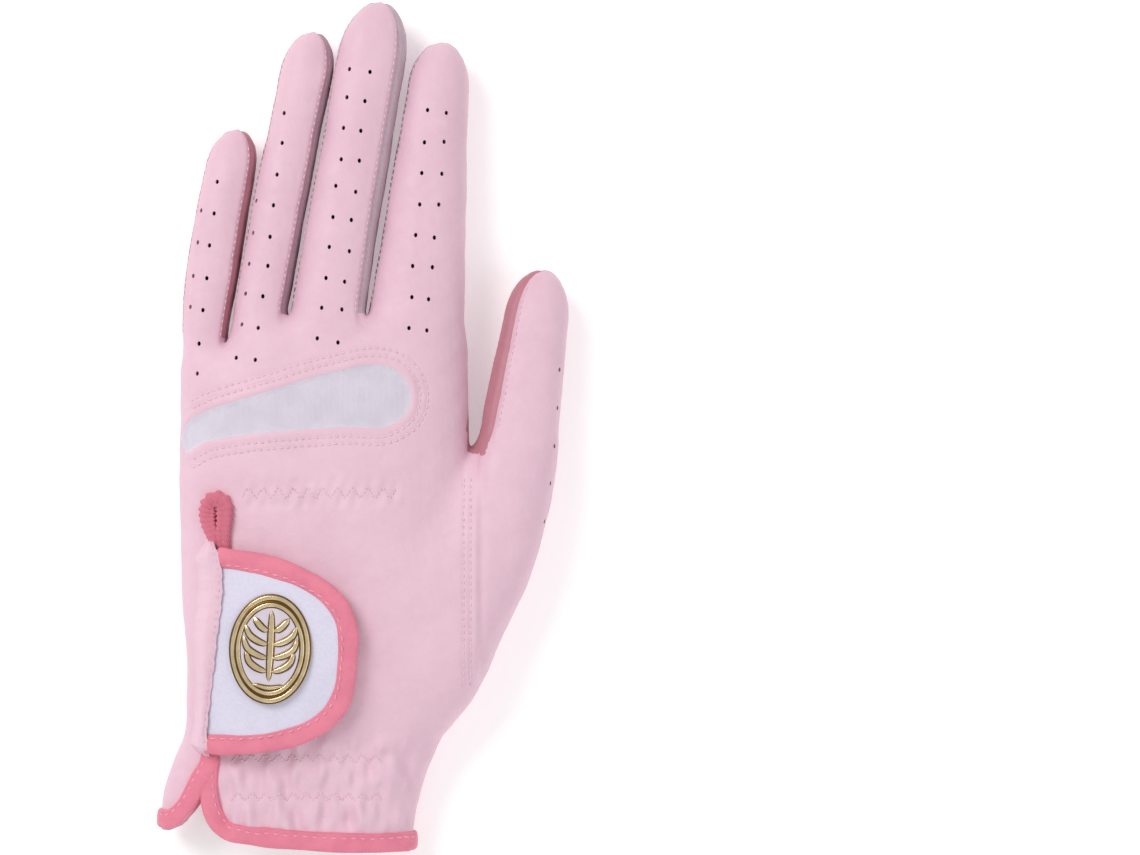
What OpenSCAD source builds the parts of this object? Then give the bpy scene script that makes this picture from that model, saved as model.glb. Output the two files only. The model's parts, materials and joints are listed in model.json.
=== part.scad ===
// Left-hand golf glove, palm down: +X towards the thumb, +Y towards the fingertips, +Z out of the back.
// The origin is on the resting plane, under the middle of the glove. All sizes are in millimetres.

/* [Leather] */
// Thickness of the leather walls
leather_t = 1.0; // [0.8:0.1:1.2]
// Thickness of the stretch panels let into the leather
stretch_t = 0.8; // [0.6:0.1:1.0]
// Height of the stuffed palm
palm_h = 27; // [25:0.5:29]
// Height of the wrist opening
wrist_h = 21; // [19:0.5:23]

/* [Stalls] */
// Clear slit between two parts that bend apart
bend_gap = 0.3; // [0.3:0.1:0.6]
// Height of a stall's hinge line above its own palm side
hinge_h = 5; // [4.5:0.5:6]
// Limit of the bend at a stall's root, in degrees
root_bend = 70; // [40:5:75]
// Limit of the bend at a finger's middle knuckle, in degrees
knuckle_bend = 85; // [60:5:90]

/* [Closure tab] */
// Reach of the tab from its root seam
tab_reach = 37; // [34:1:38]
// Length of the tab's root seam
tab_len = 52; // [48:1:54]
// Width of the folded binding tape
tape_w = 5; // [4:0.5:5.5]
// Thickness of the folded binding tape
tape_t = 2.4; // [2:0.2:2.6]
// Long diameter of the oval badge
badge_len = 28; // [24:1:30]
// Short diameter of the oval badge
badge_w = 20.4; // [18:0.2:22]

/* [Hidden] */

PINK = [0.90, 0.76, 0.82];
WHITE = [0.87, 0.86, 0.92];
GREY = [0.80, 0.77, 0.80];
ROSE = [0.90, 0.45, 0.58];
GOLD = [0.80, 0.66, 0.36];

// ---------- Outline of the hand: left and right edges of the stuffed shape at each Y ----------
left_edge = [[-110, -49], [-103, -52], [-98, -52.5], [-88, -49.8], [-80, -46.4], [-68, -45.4],
  [-48, -46.4], [-10, -47.4], [30, -46.4]];
right_edge = [[-110, 13.6], [-96, 15], [-88, 17.3], [-80, 20.7], [-72, 25.6], [-57, 35.2],
  [-45, 41.2], [-33, 45.6], [-18, 49.3], [-5, 50.8], [0, 40], [12, 27], [30, 26.4]];
height_at = [[-110, wrist_h], [-84, wrist_h + 1], [-55, palm_h], [-5, palm_h], [22, palm_h - 3.5]];
seam_x = 27;          // the thumb seam runs straight along the hand here
seam_low = -69;       // Y where the thumb seam meets the outline
hand_top = 20.5;      // Y where the hand ends and the stalls' roots start
thumb_top = -5.5;     // Y where the thumb's root starts
cuff_y = -105.5;      // Y of the leather's edge at the cuff
slit_top = -24;       // Y of the top of the wrist slit
flatness = 2.5;       // exponent of the rounded sections

function sgnpow(v, e) = sign(v) * pow(abs(v), e);
function mix(a, b, t) = a + (b - a) * t;
function mid_z(y) = 0.44 * lookup(y, height_at);
function half_x(y) = (lookup(y, right_edge) - lookup(y, left_edge)) / 2;
function mid_x(y) = (lookup(y, right_edge) + lookup(y, left_edge)) / 2;
// A point of the hand's skin at Y and angle a round the section, off millimetres under the surface.
function hand_pt(y, a, off = 0) =
  let (s = sin(a), up = s >= 0 ? lookup(y, height_at) - mid_z(y) : 1.12 * mid_z(y))
  [mid_x(y) + (half_x(y) - off) * sgnpow(cos(a), 2 / flatness), y,
   max(mid_z(y) + (up - off) * sgnpow(s, 2 / flatness), off)];
// Angle at which the upper half of the section passes x.
function angle_at(y, x) =
  acos(sgnpow(min(max((x - mid_x(y)) / half_x(y), -1), 1), flatness / 2));
function top_pt(y, x, off = 0) = hand_pt(y, angle_at(y, x), off);
// X of the wrist slit at Y.
function slit_x(y) = lookup(y, [[-110, -36.5], [-98, -41], [-85, -40.5], [-31, -37], [slit_top, -36.3]]);

// ---------- Closed walls ----------
function flat(rows) = [for (r = rows) for (p = r) p];
// A wall between two grids of points with the same rows and columns, closed round its rim.
module wall(outer, inner) {
  rows = len(outer);
  cols = len(outer[0]);
  n = rows * cols;
  function id(i, j) = i * cols + j;
  skins = [for (i = [0:rows - 2]) for (j = [0:cols - 2])
    let (a = id(i, j), b = id(i, j + 1), c = id(i + 1, j + 1), d = id(i + 1, j))
    each [[a, b, c], [a, c, d], [n + a, n + c, n + b], [n + a, n + d, n + c]]];
  ends = [for (j = [0:cols - 2]) each [
    let (a = id(0, j), b = id(0, j + 1)) [a, n + a, n + b],
    let (a = id(0, j), b = id(0, j + 1)) [a, n + b, b],
    let (a = id(rows - 1, j), b = id(rows - 1, j + 1)) [a, b, n + b],
    let (a = id(rows - 1, j), b = id(rows - 1, j + 1)) [a, n + b, n + a]]];
  sides = [for (i = [0:rows - 2]) each [
    let (a = id(i, 0), b = id(i + 1, 0)) [a, b, n + b],
    let (a = id(i, 0), b = id(i + 1, 0)) [a, n + b, n + a],
    let (a = id(i, cols - 1), b = id(i + 1, cols - 1)) [a, n + a, n + b],
    let (a = id(i, cols - 1), b = id(i + 1, cols - 1)) [a, n + b, b]]];
  polyhedron(concat(flat(outer), flat(inner)), concat(skins, ends, sides), convexity = 6);
}
// A piece of the hand's skin: one row for each Y in ys, from angle from_a[i] to to_a[i].
module skin(ys, from_a, to_a, cols, t0, t1) {
  function grid(off) = [for (i = [0:len(ys) - 1])
    [for (j = [0:cols]) hand_pt(ys[i], mix(from_a[i], to_a[i], j / cols), off)]];
  wall(grid(t0), grid(t1));
}
function steps(a, b, n) = [for (i = [0:n]) mix(a, b, i / n)];
// A flat oval tape swept along a path.
module tape(path, w, t) {
  n = len(path);
  sides = 6;
  function dir(i) = let (d = path[min(i + 1, n - 1)] - path[max(i - 1, 0)]) d / norm(d);
  rings = [for (i = [0:n - 1])
    let (d = dir(i), e = cross([0, 0, 1], d), side = e / norm(e), up = cross(d, side))
    [for (k = [0:sides - 1]) path[i] + side * w / 2 * cos(60 * k) + up * t / 2 * sin(60 * k)]];
  walls = [for (i = [0:n - 2]) for (k = [0:sides - 1])
    let (a = i * sides + k, b = i * sides + (k + 1) % sides)
    each [[a, a + sides, b + sides], [a, b + sides, b]]];
  caps = [[for (k = [0:sides - 1]) k], [for (k = [sides - 1:-1:0]) (n - 1) * sides + k]];
  polyhedron(flat(rings), concat(walls, caps), convexity = 6);
}

// ---------- Stalls: [root x, root y, lean, length, root half width, tip half width,
//            root half height, tip half height, root centre z, tip centre z, hinge, knuckle] ----------
index_stall = [14.0, 29, 5.1, 71, 11.8, 8.2, 9.8, 7.8, 12.5, 9.2, 6.5, 27];
middle_stall = [-8.7, 29, 9.1, 82, 10.0, 8.9, 9.8, 8.0, 13.0, 9.6, 8, 31];
ring_stall = [-26.4, 29, 10.2, 75, 7.0, 7.0, 9.2, 7.6, 12.0, 8.6, 7.5, 29];
little_stall = [-40.8, 22, 8.5, 56, 5.6, 7.0, 8.2, 7.2, 11.0, 8.2, 8, 23];
thumb_stall = [40.3, -3, 8.9, 44.5, 10.6, 8.6, 9.4, 7.8, 11.5, 9.0, 6, 23];
dome_part = 0.62;     // a stall's dome is this much longer than its half width, plus one half width

function dome(f) = f[5] * (1 + dome_part);
function along(f, s) = min(max(s / (f[3] - dome(f)), -0.2), 1);
function stall_z(f, s) = mix(f[8], f[9], along(f, s));
function stall_w(f, s) = mix(f[4], f[5], along(f, s));
function stall_h(f, s) = mix(f[6], f[7], along(f, s));
// A point of a stall's skin: s along it, angle a round it, phi up its dome, off under the surface.
function stall_pt(f, s, a, phi, off) =
  let (w = (stall_w(f, s) - off) * cos(phi) * sgnpow(cos(a), 2 / flatness),
       h = (stall_h(f, s) - off) * cos(phi) * sgnpow(sin(a), 2 / flatness),
       l = s + (dome(f) - off) * sin(phi))
  [f[0] + l * sin(f[2]) + w * cos(f[2]), f[1] + l * cos(f[2]) - w * sin(f[2]), stall_z(f, s) + h];
// Height of a stall's hinge line at s.
function hinge_z(f, s) = stall_z(f, s) - stall_h(f, s) + hinge_h;
// How far the edge beside a hinge stands back at angle a, so that the palm sides can close up.
function relief(f, s, a, bend) =
  let (z = stall_pt(f, s, a, 0, 0)[2], low = hinge_z(f, s) - z)
  bend_gap / 2 + (low > 0 ? low * tan(bend / 2 + 3) : 0);

// The four walls round a stall, as first and last angle.
back_arc = [36, 144];
left_arc = [145, 215];
palm_arc = [216, 324];
right_arc = [-35, 35];

module stall_wall(f, arc, cols, from_s, to_s, bend0, bend1, tip, t) {
  rows = tip ? 4 : 3;
  function angle(j) = mix(arc[0], arc[1], j / cols);
  function body(off) = [for (i = [0:rows]) [for (j = [0:cols])
    let (a = angle(j), s0 = from_s + (bend0 > 0 ? relief(f, from_s, a, bend0) : 0),
         s1 = to_s - (bend1 > 0 ? relief(f, to_s, a, bend1) : 0))
    stall_pt(f, mix(s0, s1, i / rows), a, 0, off)]];
  function cap(off) = tip ? [for (phi = [22, 42, 58, 70, 78]) [for (j = [0:cols])
    stall_pt(f, to_s, angle(j), phi, off)]] : [];
  wall(concat(body(0), cap(0)), concat(body(t), cap(t)));
}
// One wall of a stall's base (between the two hinges) or of its tip (beyond the knuckle).
module base_wall(f, arc, cols = 5, t = leather_t)
  stall_wall(f, arc, cols, f[10], f[11], root_limit(f), tip_limit(f), false, t);
module tip_wall(f, arc, cols = 5, t = leather_t)
  stall_wall(f, arc, cols, f[11], f[3] - dome(f), tip_limit(f), 0, true, t);
module root_wall(f, arc, from_s, cols = 5, t = leather_t)
  stall_wall(f, arc, cols, from_s, f[10], 0, root_limit(f), false, t);
thumb_share = 0.75;   // the thumb bends this much of a finger's range
function root_limit(f) = f == thumb_stall ? root_bend * thumb_share : root_bend;
function tip_limit(f) = f == thumb_stall ? knuckle_bend * thumb_share : knuckle_bend;
module gussets(f, left, right, part) {
  for (side = [0, 1]) if (side == 0 ? left : right) {
    arc = side == 0 ? left_arc : right_arc;
    if (part == "base") base_wall(f, arc, 3, stretch_t);
    if (part == "tip") tip_wall(f, arc, 3, stretch_t);
  }
}

// ---------- Hand ----------
root_start = -6.5;    // the stalls' roots start this far under the crotches
// One wall of every stall's root, between the hand and the first hinge.
module roots(arc, cols = 5, t = leather_t) {
  for (f = [index_stall, middle_stall, ring_stall]) root_wall(f, arc, root_start, cols, t);
  root_wall(little_stall, arc, 0.5, cols, t);
  root_wall(thumb_stall, arc, 0, cols, t);
}
module finger_roots_back() color(PINK) roots(back_arc);
module finger_roots_palm() color(PINK) roots(palm_arc);
module finger_roots_gusset() color(GREY) {
  roots(left_arc, 3, stretch_t);
  roots(right_arc, 3, stretch_t);
}
back_ys = [cuff_y, -98, -90, -82, -74, -66, -58, -46, -34, -25, -20, -12, -2, 8, hand_top];
module back_panel() color(PINK)
  skin(back_ys,
    [for (y = back_ys) y < seam_low ? 1 : angle_at(y, min(seam_x - 0.2, lookup(y, right_edge)))],
    [for (y = back_ys) y < slit_top ? angle_at(y, slit_x(y) + 3) : 179], 12, 0, leather_t);
palm_ys = [cuff_y, -96, -86, -76, -66, -56, -44, -32, -20, -10, 0, 10, hand_top];
module palm_panel() color(PINK)
  skin(palm_ys, [for (y = palm_ys) 181],
    [for (y = palm_ys) y < seam_low ? 359 : 360 - angle_at(y, min(seam_x - 0.2, lookup(y, right_edge)))],
    12, 0, leather_t);
flap_ys = [-97, -90, -82, -72, -60, -46, -34, slit_top - 3];
module side_flap() color(PINK)
  skin(flap_ys, [for (y = flap_ys) angle_at(y, slit_x(y) - (y < -84 ? 3 : 0.6))], [for (y = flap_ys) 179],
    3, 0, leather_t);
thumb_ys = [seam_low + 4, -56, -46, -36, -26, -16, thumb_top];
module thumb_back_panel() color(PINK)
  skin(thumb_ys, [for (y = thumb_ys) 0.8], [for (y = thumb_ys) angle_at(y, seam_x + 0.2)], 6, 0, leather_t);
module thumb_palm_panel() color(PINK)
  skin(thumb_ys, [for (y = thumb_ys) 360 - angle_at(y, seam_x + 0.2)], [for (y = thumb_ys) 359.2], 6, 0,
    leather_t);

// ---------- Panels and bands on the hand ----------
insert_low = [[-46, -5.5], [-30, -3.3], [0, -1], [12, 0]];
insert_high = [[-46, -2.5], [-40, 4.5], [-30, 7.4], [-12, 12.8], [2, 16], [8, 15.8], [12.5, 12]];
module knuckle_insert() {
  xs = [-45.5, -40, -32, -24, -16, -8, 0, 7, 11, 12.8];
  function grid(off) = [for (x = xs) [for (v = [0:4])
    let (y = mix(lookup(x, insert_low), lookup(x, insert_high), v / 4)) top_pt(y, x, off)]];
  color(WHITE) wall(grid(-0.3 - stretch_t), grid(-0.3));
}
module band(y0, y1, x0, x1, cols) {
  ys = [y0, (y0 + y1) / 2, y1];
  skin(ys, [for (y = ys) angle_at(y, x1)], [for (y = ys) angle_at(y, x0)], cols, leather_t + 0.4,
    leather_t + 1.2);
}
module back_elastic() color(WHITE) band(-19, -15, -30, 10, 8);
module wrist_elastic() color(WHITE) {
  band(-89, -84, -33, 6, 8);
  band(-97, -93, -33, 6, 8);
}
module palm_elastic() {
  ys = [-92, -89, -86];
  color(WHITE) skin(ys, [for (y = ys) 215], [for (y = ys) 325], 8, leather_t + 0.4, leather_t + 1.2);
}
module loop_patch() {
  function grid(off) = [for (y = steps(-71, -45, 5)) [for (x = steps(-11, -30, 4)) top_pt(y, x, off)]];
  color(WHITE) wall(grid(-1.5), grid(-0.3));
}

// ---------- Bindings ----------
apex = [-36.3, -23.5];
tape_lift = 1;        // the slit's tape lies with its middle this far above the leather
module slit_binding() {
  right_side = [for (y = [-100, -92, -84, -70, -56, -42, -33, -28]) top_pt(y, slit_x(y) + 1.7, -tape_lift)];
  loop = [for (a = [0:30:180]) top_pt(apex[1] + 4.4 * sin(a), apex[0] + 3 * cos(a), -tape_lift)];
  color(ROSE) tape(concat(right_side, loop), 0.55 * tape_w, 0.7 * tape_t);
}
module cuff_binding() {
  xs = steps(-33, 12, 8);
  color(ROSE) tape([for (x = xs) top_pt(-108.5, x, 0.2)], 0.55 * tape_w, tape_t);
}
module flap_binding() color(ROSE)
  tape([for (y = [-98, -94, -90, -86, -80, -60, -42]) top_pt(y, slit_x(y) - 1.7, -tape_lift)],
    0.5 * tape_w, 0.7 * tape_t);
module palm_cuff_binding() color(ROSE)
  tape([for (a = steps(186, 354, 14)) let (p = hand_pt(-108.5, a, 0.2)) [p[0], p[1], max(p[2], tape_t / 2)]],
    0.55 * tape_w, tape_t);

// ---------- Closure tab ----------
tab_x = -39.5;        // X of the root seam
tab_y = -57.5;        // Y of the middle of the root seam
tab_tilt = 4.3;       // lean of the root seam
tab_lift = 2.4;       // clear height of the tab's underside over the leather
// Half outline of the tab: reach u from 0 at the seam to 1, across v from -1 to 1.
function tab_edge(v) = sqrt(1 - pow(abs(v), 3.2));
// A point of the tab, off above its underside; inset draws the outline in.
function tab_pt(u, v, off, inset = 0) =
  let (r = (tab_reach - inset) * tab_edge(v) * u, l = v * (tab_len / 2 - inset),
       x = tab_x + r * cos(tab_tilt) + l * sin(tab_tilt), y = tab_y + l * cos(tab_tilt) - r * sin(tab_tilt))
  [x, y, top_pt(y, x)[2] + tab_lift + off];
module tab_sheet(low, high, inset, u0 = 0.03, u1 = 1) {
  function grid(off) = [for (v = steps(-0.97, 0.97, 12)) [for (u = steps(u1, u0, 4)) tab_pt(u, v, off, inset)]];
  wall(grid(high), grid(low));
}
module tab_face() color(WHITE) tab_sheet(1.1, 2.0, tape_w);
module tab_lining() color(PINK) tab_sheet(0.3, 0.9, tape_w);
module hook_patch() {
  function grid(off) = [for (v = steps(-0.6, 0.6, 5)) [for (u = steps(0.8, 0.3, 3)) tab_pt(u, v, off, tape_w)]];
  color(WHITE) wall(grid(0.1), grid(-0.6));
}
module tab_binding() color(ROSE)
  tape([for (v = [-0.99, -0.97, -0.92, -0.84, -0.72, -0.55, -0.35, -0.12, 0.12, 0.35, 0.55, 0.72, 0.84, 0.92,
    0.97, 0.99]) tab_pt(1, v, 1.2, tape_w / 2 - 0.3)], tape_w - 0.8, tape_t);

// ---------- Badge ----------
badge_x = -22.8;
badge_y = -57;
function badge_pt(r, a, off) =
  let (x = badge_x + r * badge_w / 2 * cos(a), y = badge_y + r * badge_len / 2 * sin(a))
  [x, y, top_pt(y, x)[2] + tab_lift + off];
module badge_ring(r0, r1, low, high) {
  angles = [for (k = [0:15]) 22.5 * k];
  function grid(off) = [for (r = [r0, r1]) [for (a = angles) badge_pt(r, a, off)]];
  top = grid(high);
  bottom = grid(low);
  points = concat(flat(top), flat(bottom));
  n = len(angles);
  faces = [for (k = [0:n - 1]) let (k2 = (k + 1) % n) each [
    [k, n + k, n + k2], [k, n + k2, k2],
    [2 * n + k, 3 * n + k2, 3 * n + k], [2 * n + k, 2 * n + k2, 3 * n + k2],
    [n + k, 3 * n + k, 3 * n + k2], [n + k, 3 * n + k2, n + k2],
    [k, 2 * n + k2, 2 * n + k], [k, k2, 2 * n + k2]]];
  polyhedron(points, faces, convexity = 6);
}
module badge_plate() color(GOLD) badge_ring(0.08, 0.82, 2.3, 2.9);
module badge_rim() color(GOLD) badge_ring(0.85, 1, 2.3, 3.3);

back_panel();
palm_panel();
side_flap();
thumb_back_panel();
thumb_palm_panel();
finger_roots_back();
finger_roots_palm();
finger_roots_gusset();
knuckle_insert();
back_elastic();
wrist_elastic();
palm_elastic();
loop_patch();
slit_binding();
cuff_binding();
flap_binding();
palm_cuff_binding();
color(PINK) base_wall(index_stall, back_arc);  // index_base_back
color(PINK) base_wall(index_stall, palm_arc);  // index_base_palm
color(GREY) gussets(index_stall, true, true, "base");  // index_base_gusset
color(PINK) tip_wall(index_stall, back_arc);  // index_tip_back
color(PINK) tip_wall(index_stall, palm_arc);  // index_tip_palm
color(GREY) gussets(index_stall, true, true, "tip");  // index_tip_gusset
color(PINK) base_wall(middle_stall, back_arc);  // middle_base_back
color(PINK) base_wall(middle_stall, palm_arc);  // middle_base_palm
color(GREY) gussets(middle_stall, true, true, "base");  // middle_base_gusset
color(PINK) tip_wall(middle_stall, back_arc);  // middle_tip_back
color(PINK) tip_wall(middle_stall, palm_arc);  // middle_tip_palm
color(GREY) gussets(middle_stall, true, true, "tip");  // middle_tip_gusset
color(PINK) base_wall(ring_stall, back_arc);  // ring_base_back
color(PINK) base_wall(ring_stall, palm_arc);  // ring_base_palm
color(GREY) gussets(ring_stall, true, true, "base");  // ring_base_gusset
color(PINK) tip_wall(ring_stall, back_arc);  // ring_tip_back
color(PINK) tip_wall(ring_stall, palm_arc);  // ring_tip_palm
color(GREY) gussets(ring_stall, true, true, "tip");  // ring_tip_gusset
color(PINK) base_wall(little_stall, back_arc);  // little_base_back
color(PINK) base_wall(little_stall, palm_arc);  // little_base_palm
color(GREY) gussets(little_stall, true, true, "base");  // little_base_gusset
color(PINK) tip_wall(little_stall, back_arc);  // little_tip_back
color(PINK) tip_wall(little_stall, palm_arc);  // little_tip_palm
color(GREY) gussets(little_stall, true, true, "tip");  // little_tip_gusset
color(PINK) base_wall(thumb_stall, back_arc);  // thumb_base_back
color(PINK) base_wall(thumb_stall, palm_arc);  // thumb_base_palm
color(GREY) gussets(thumb_stall, true, true, "base");  // thumb_base_gusset
color(PINK) tip_wall(thumb_stall, back_arc);  // thumb_tip_back
color(PINK) tip_wall(thumb_stall, palm_arc);  // thumb_tip_palm
color(GREY) gussets(thumb_stall, true, true, "tip");  // thumb_tip_gusset
tab_face();
tab_lining();
hook_patch();
tab_binding();
badge_plate();
badge_rim();
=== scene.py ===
"""Left-hand golf glove: leather shell, stretch insert, bound slit and cuff, closure tab and badge."""
import json
import math

import bmesh
import bpy
import numpy as np
import openvdb
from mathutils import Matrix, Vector
from mathutils.bvhtree import BVHTree


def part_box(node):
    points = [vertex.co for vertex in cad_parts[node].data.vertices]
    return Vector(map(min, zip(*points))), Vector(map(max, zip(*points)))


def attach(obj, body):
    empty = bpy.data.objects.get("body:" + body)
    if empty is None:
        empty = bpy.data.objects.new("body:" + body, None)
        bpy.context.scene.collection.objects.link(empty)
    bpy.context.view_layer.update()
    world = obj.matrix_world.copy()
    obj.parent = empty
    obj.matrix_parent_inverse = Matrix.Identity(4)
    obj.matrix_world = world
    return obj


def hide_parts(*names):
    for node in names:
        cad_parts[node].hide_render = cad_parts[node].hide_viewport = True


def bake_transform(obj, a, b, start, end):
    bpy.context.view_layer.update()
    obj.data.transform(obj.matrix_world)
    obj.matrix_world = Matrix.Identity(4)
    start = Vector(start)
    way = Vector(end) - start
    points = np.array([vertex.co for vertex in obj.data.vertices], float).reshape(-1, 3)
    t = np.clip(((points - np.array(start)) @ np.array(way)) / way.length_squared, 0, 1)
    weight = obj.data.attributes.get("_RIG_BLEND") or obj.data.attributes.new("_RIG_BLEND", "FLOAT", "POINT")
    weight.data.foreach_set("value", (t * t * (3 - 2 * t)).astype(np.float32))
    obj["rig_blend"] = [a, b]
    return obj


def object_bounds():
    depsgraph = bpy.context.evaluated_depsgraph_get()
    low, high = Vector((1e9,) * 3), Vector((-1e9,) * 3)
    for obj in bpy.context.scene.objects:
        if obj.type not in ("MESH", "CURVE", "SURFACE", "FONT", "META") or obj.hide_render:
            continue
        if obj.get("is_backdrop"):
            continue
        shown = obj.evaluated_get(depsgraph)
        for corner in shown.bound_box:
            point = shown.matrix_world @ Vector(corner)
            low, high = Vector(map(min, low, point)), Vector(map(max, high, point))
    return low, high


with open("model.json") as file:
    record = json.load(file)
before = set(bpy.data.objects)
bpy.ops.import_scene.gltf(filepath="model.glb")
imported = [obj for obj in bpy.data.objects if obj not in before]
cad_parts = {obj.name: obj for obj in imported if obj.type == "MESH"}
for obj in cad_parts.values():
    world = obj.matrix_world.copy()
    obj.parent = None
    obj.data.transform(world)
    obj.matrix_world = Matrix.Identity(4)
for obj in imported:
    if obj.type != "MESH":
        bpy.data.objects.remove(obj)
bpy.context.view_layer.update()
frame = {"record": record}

MM = 0.001
LEATHER = 0.8  # thickness of the leather, mm
HAND_EXPONENT = 2.5  # roundness of the hand's sections
STALL_EXPONENT = 2.3  # roundness of the stalls' sections
MID_SHARE = 0.44  # the widest line of the hand is this share of its height up
UP = np.array([0.0, 0.0, 1.0])
rng = np.random.default_rng(7)


# ---------------------------------------------------------------- curves
def curve(at, points):
    """A smooth line through (position, value) points, held level beyond its ends."""
    x, y = np.array(points, float).T
    slope = np.gradient(y, x)
    at = np.clip(np.asarray(at, float), x[0], x[-1])
    i = np.clip(np.searchsorted(x, at, side="right") - 1, 0, len(x) - 2)
    h = x[i + 1] - x[i]
    t = (at - x[i]) / h
    a, b = (2 * t - 3) * t * t + 1, ((t - 2) * t + 1) * t
    c, d = (3 - 2 * t) * t * t, (t - 1) * t * t
    return a * y[i] + b * h * slope[i] + c * y[i + 1] + d * h * slope[i + 1]


def run_along(path):
    """Distance of each point of a path from its start."""
    return np.concatenate([[0], np.cumsum(np.linalg.norm(np.diff(path, axis=0), axis=1))])


def smooth_path(points, step):
    """Points about step apart on a smooth line through the given ones."""
    p = np.array(points, float)
    run = run_along(p)
    at = np.linspace(0, run[-1], max(int(run[-1] / step), 2) + 1)
    return np.stack([curve(at, list(zip(run, p[:, k]))) for k in range(p.shape[1])], 1)


def even_steps(path, step):
    """The path cut again into equal steps."""
    run = run_along(path)
    at = np.linspace(0, run[-1], max(int(round(run[-1] / step)), 2) + 1)
    return np.stack([np.interp(at, run, path[:, k]) for k in range(path.shape[1])], 1)


def unit(v):
    return v / np.maximum(np.linalg.norm(v, axis=-1, keepdims=True), 1e-9)


# ---------------------------------------------------------------- outline of the hand, mm
# Each edge is a list of (y, x), each height of (y, z), and the hand's end towards the fingers of (x, y).
LEFT_EDGE = [(-114, -51.5), (-103, -52.3), (-96, -51.8), (-88, -49.6), (-80, -46.6), (-68, -45.6),
             (-48, -46.3), (-10, -47.3), (24, -46.4)]
BODY_RIGHT = [(-114, 13.2), (-103, 13.7), (-96, 15.0), (-88, 17.4), (-80, 20.8), (-72, 25.0),
              (-62, 27.0), (-20, 27.4), (0, 27.6), (24, 27.3)]
BACK_HEIGHT = [(-114, 19.5), (-100, 20.5), (-84, 22.0), (-60, 26.3), (-20, 27.0), (5, 26.5), (20, 24.5),
               (30, 22.5)]
HAND_END = [(-48, 18.5), (-37, 20.5), (-30, 25.0), (-19, 28.0), (2, 28.0), (14, 28.0), (27, 24.0)]
HEEL_LEFT = [(-80, -2.0), (-69, 7.0), (-57, 11.0), (-45, 14.0), (-33, 18.0), (-18, 22.5), (-5, 29.0),
             (6, 32.0)]
HEEL_RIGHT = [(-80, 16.0), (-69, 28.0), (-57, 35.0), (-45, 41.0), (-33, 45.4), (-18, 49.2), (-5, 50.8),
              (6, 51.3)]
HEEL_HALF = [(-80, 6.5), (-69, 9.0), (-45, 11.8), (-18, 11.6), (-5, 10.2), (6, 9.4)]
HEEL_Z = 11.6
HEEL_END = 1.0
CROTCHES = [21.0, 28.8, 28.8]  # y of the notch between each finger and the next
STALL_GAP = 0.95  # least gap between two fingers
SKY, PIT = 70, -20  # heights above and below the glove, from which rays find its skin, mm

# Sizes of each stall in mm; its place comes from its joint. hinge and knuckle are the distances of its two
# hinge lines from its root, width and height are half sizes at root and tip, z is the height of its middle at
# root and tip, sway is how far its tip leans towards the thumb, belly how much wider it is half way along.
STALLS = {
    "index": dict(hinge=6.5, knuckle=27, length=71.3, width=(12.6, 7.9), height=(9.6, 7.6), z=(12.5, 9.2),
                  sway=0.5),
    "middle": dict(hinge=8, knuckle=31, length=82.3, width=(9.9, 8.9), height=(9.7, 7.8), z=(13.0, 9.6),
                   sway=0.8),
    "ring": dict(hinge=7.5, knuckle=29, length=75.0, width=(7.2, 6.9), height=(9.0, 7.4), z=(12.0, 8.6),
                 sway=0.9),
    "little": dict(hinge=8, knuckle=23, length=56, width=(5.9, 6.3), height=(8.2, 7.0), z=(11.0, 8.2),
                   sway=0.5, belly=0.8),
    "thumb": dict(hinge=6, knuckle=23, length=44.3, width=(10.4, 8.4), height=(9.2, 7.6), z=(11.5, 9.0)),
}
DOME = 1.62  # length of a stall's domed end, in half widths
BEND_HALF = 6.4  # a bend's leather turns within this distance of its hinge line, mm
JOINTS = {j["name"]: j for j in frame["record"]["behaviour"]["joints"]}


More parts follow.
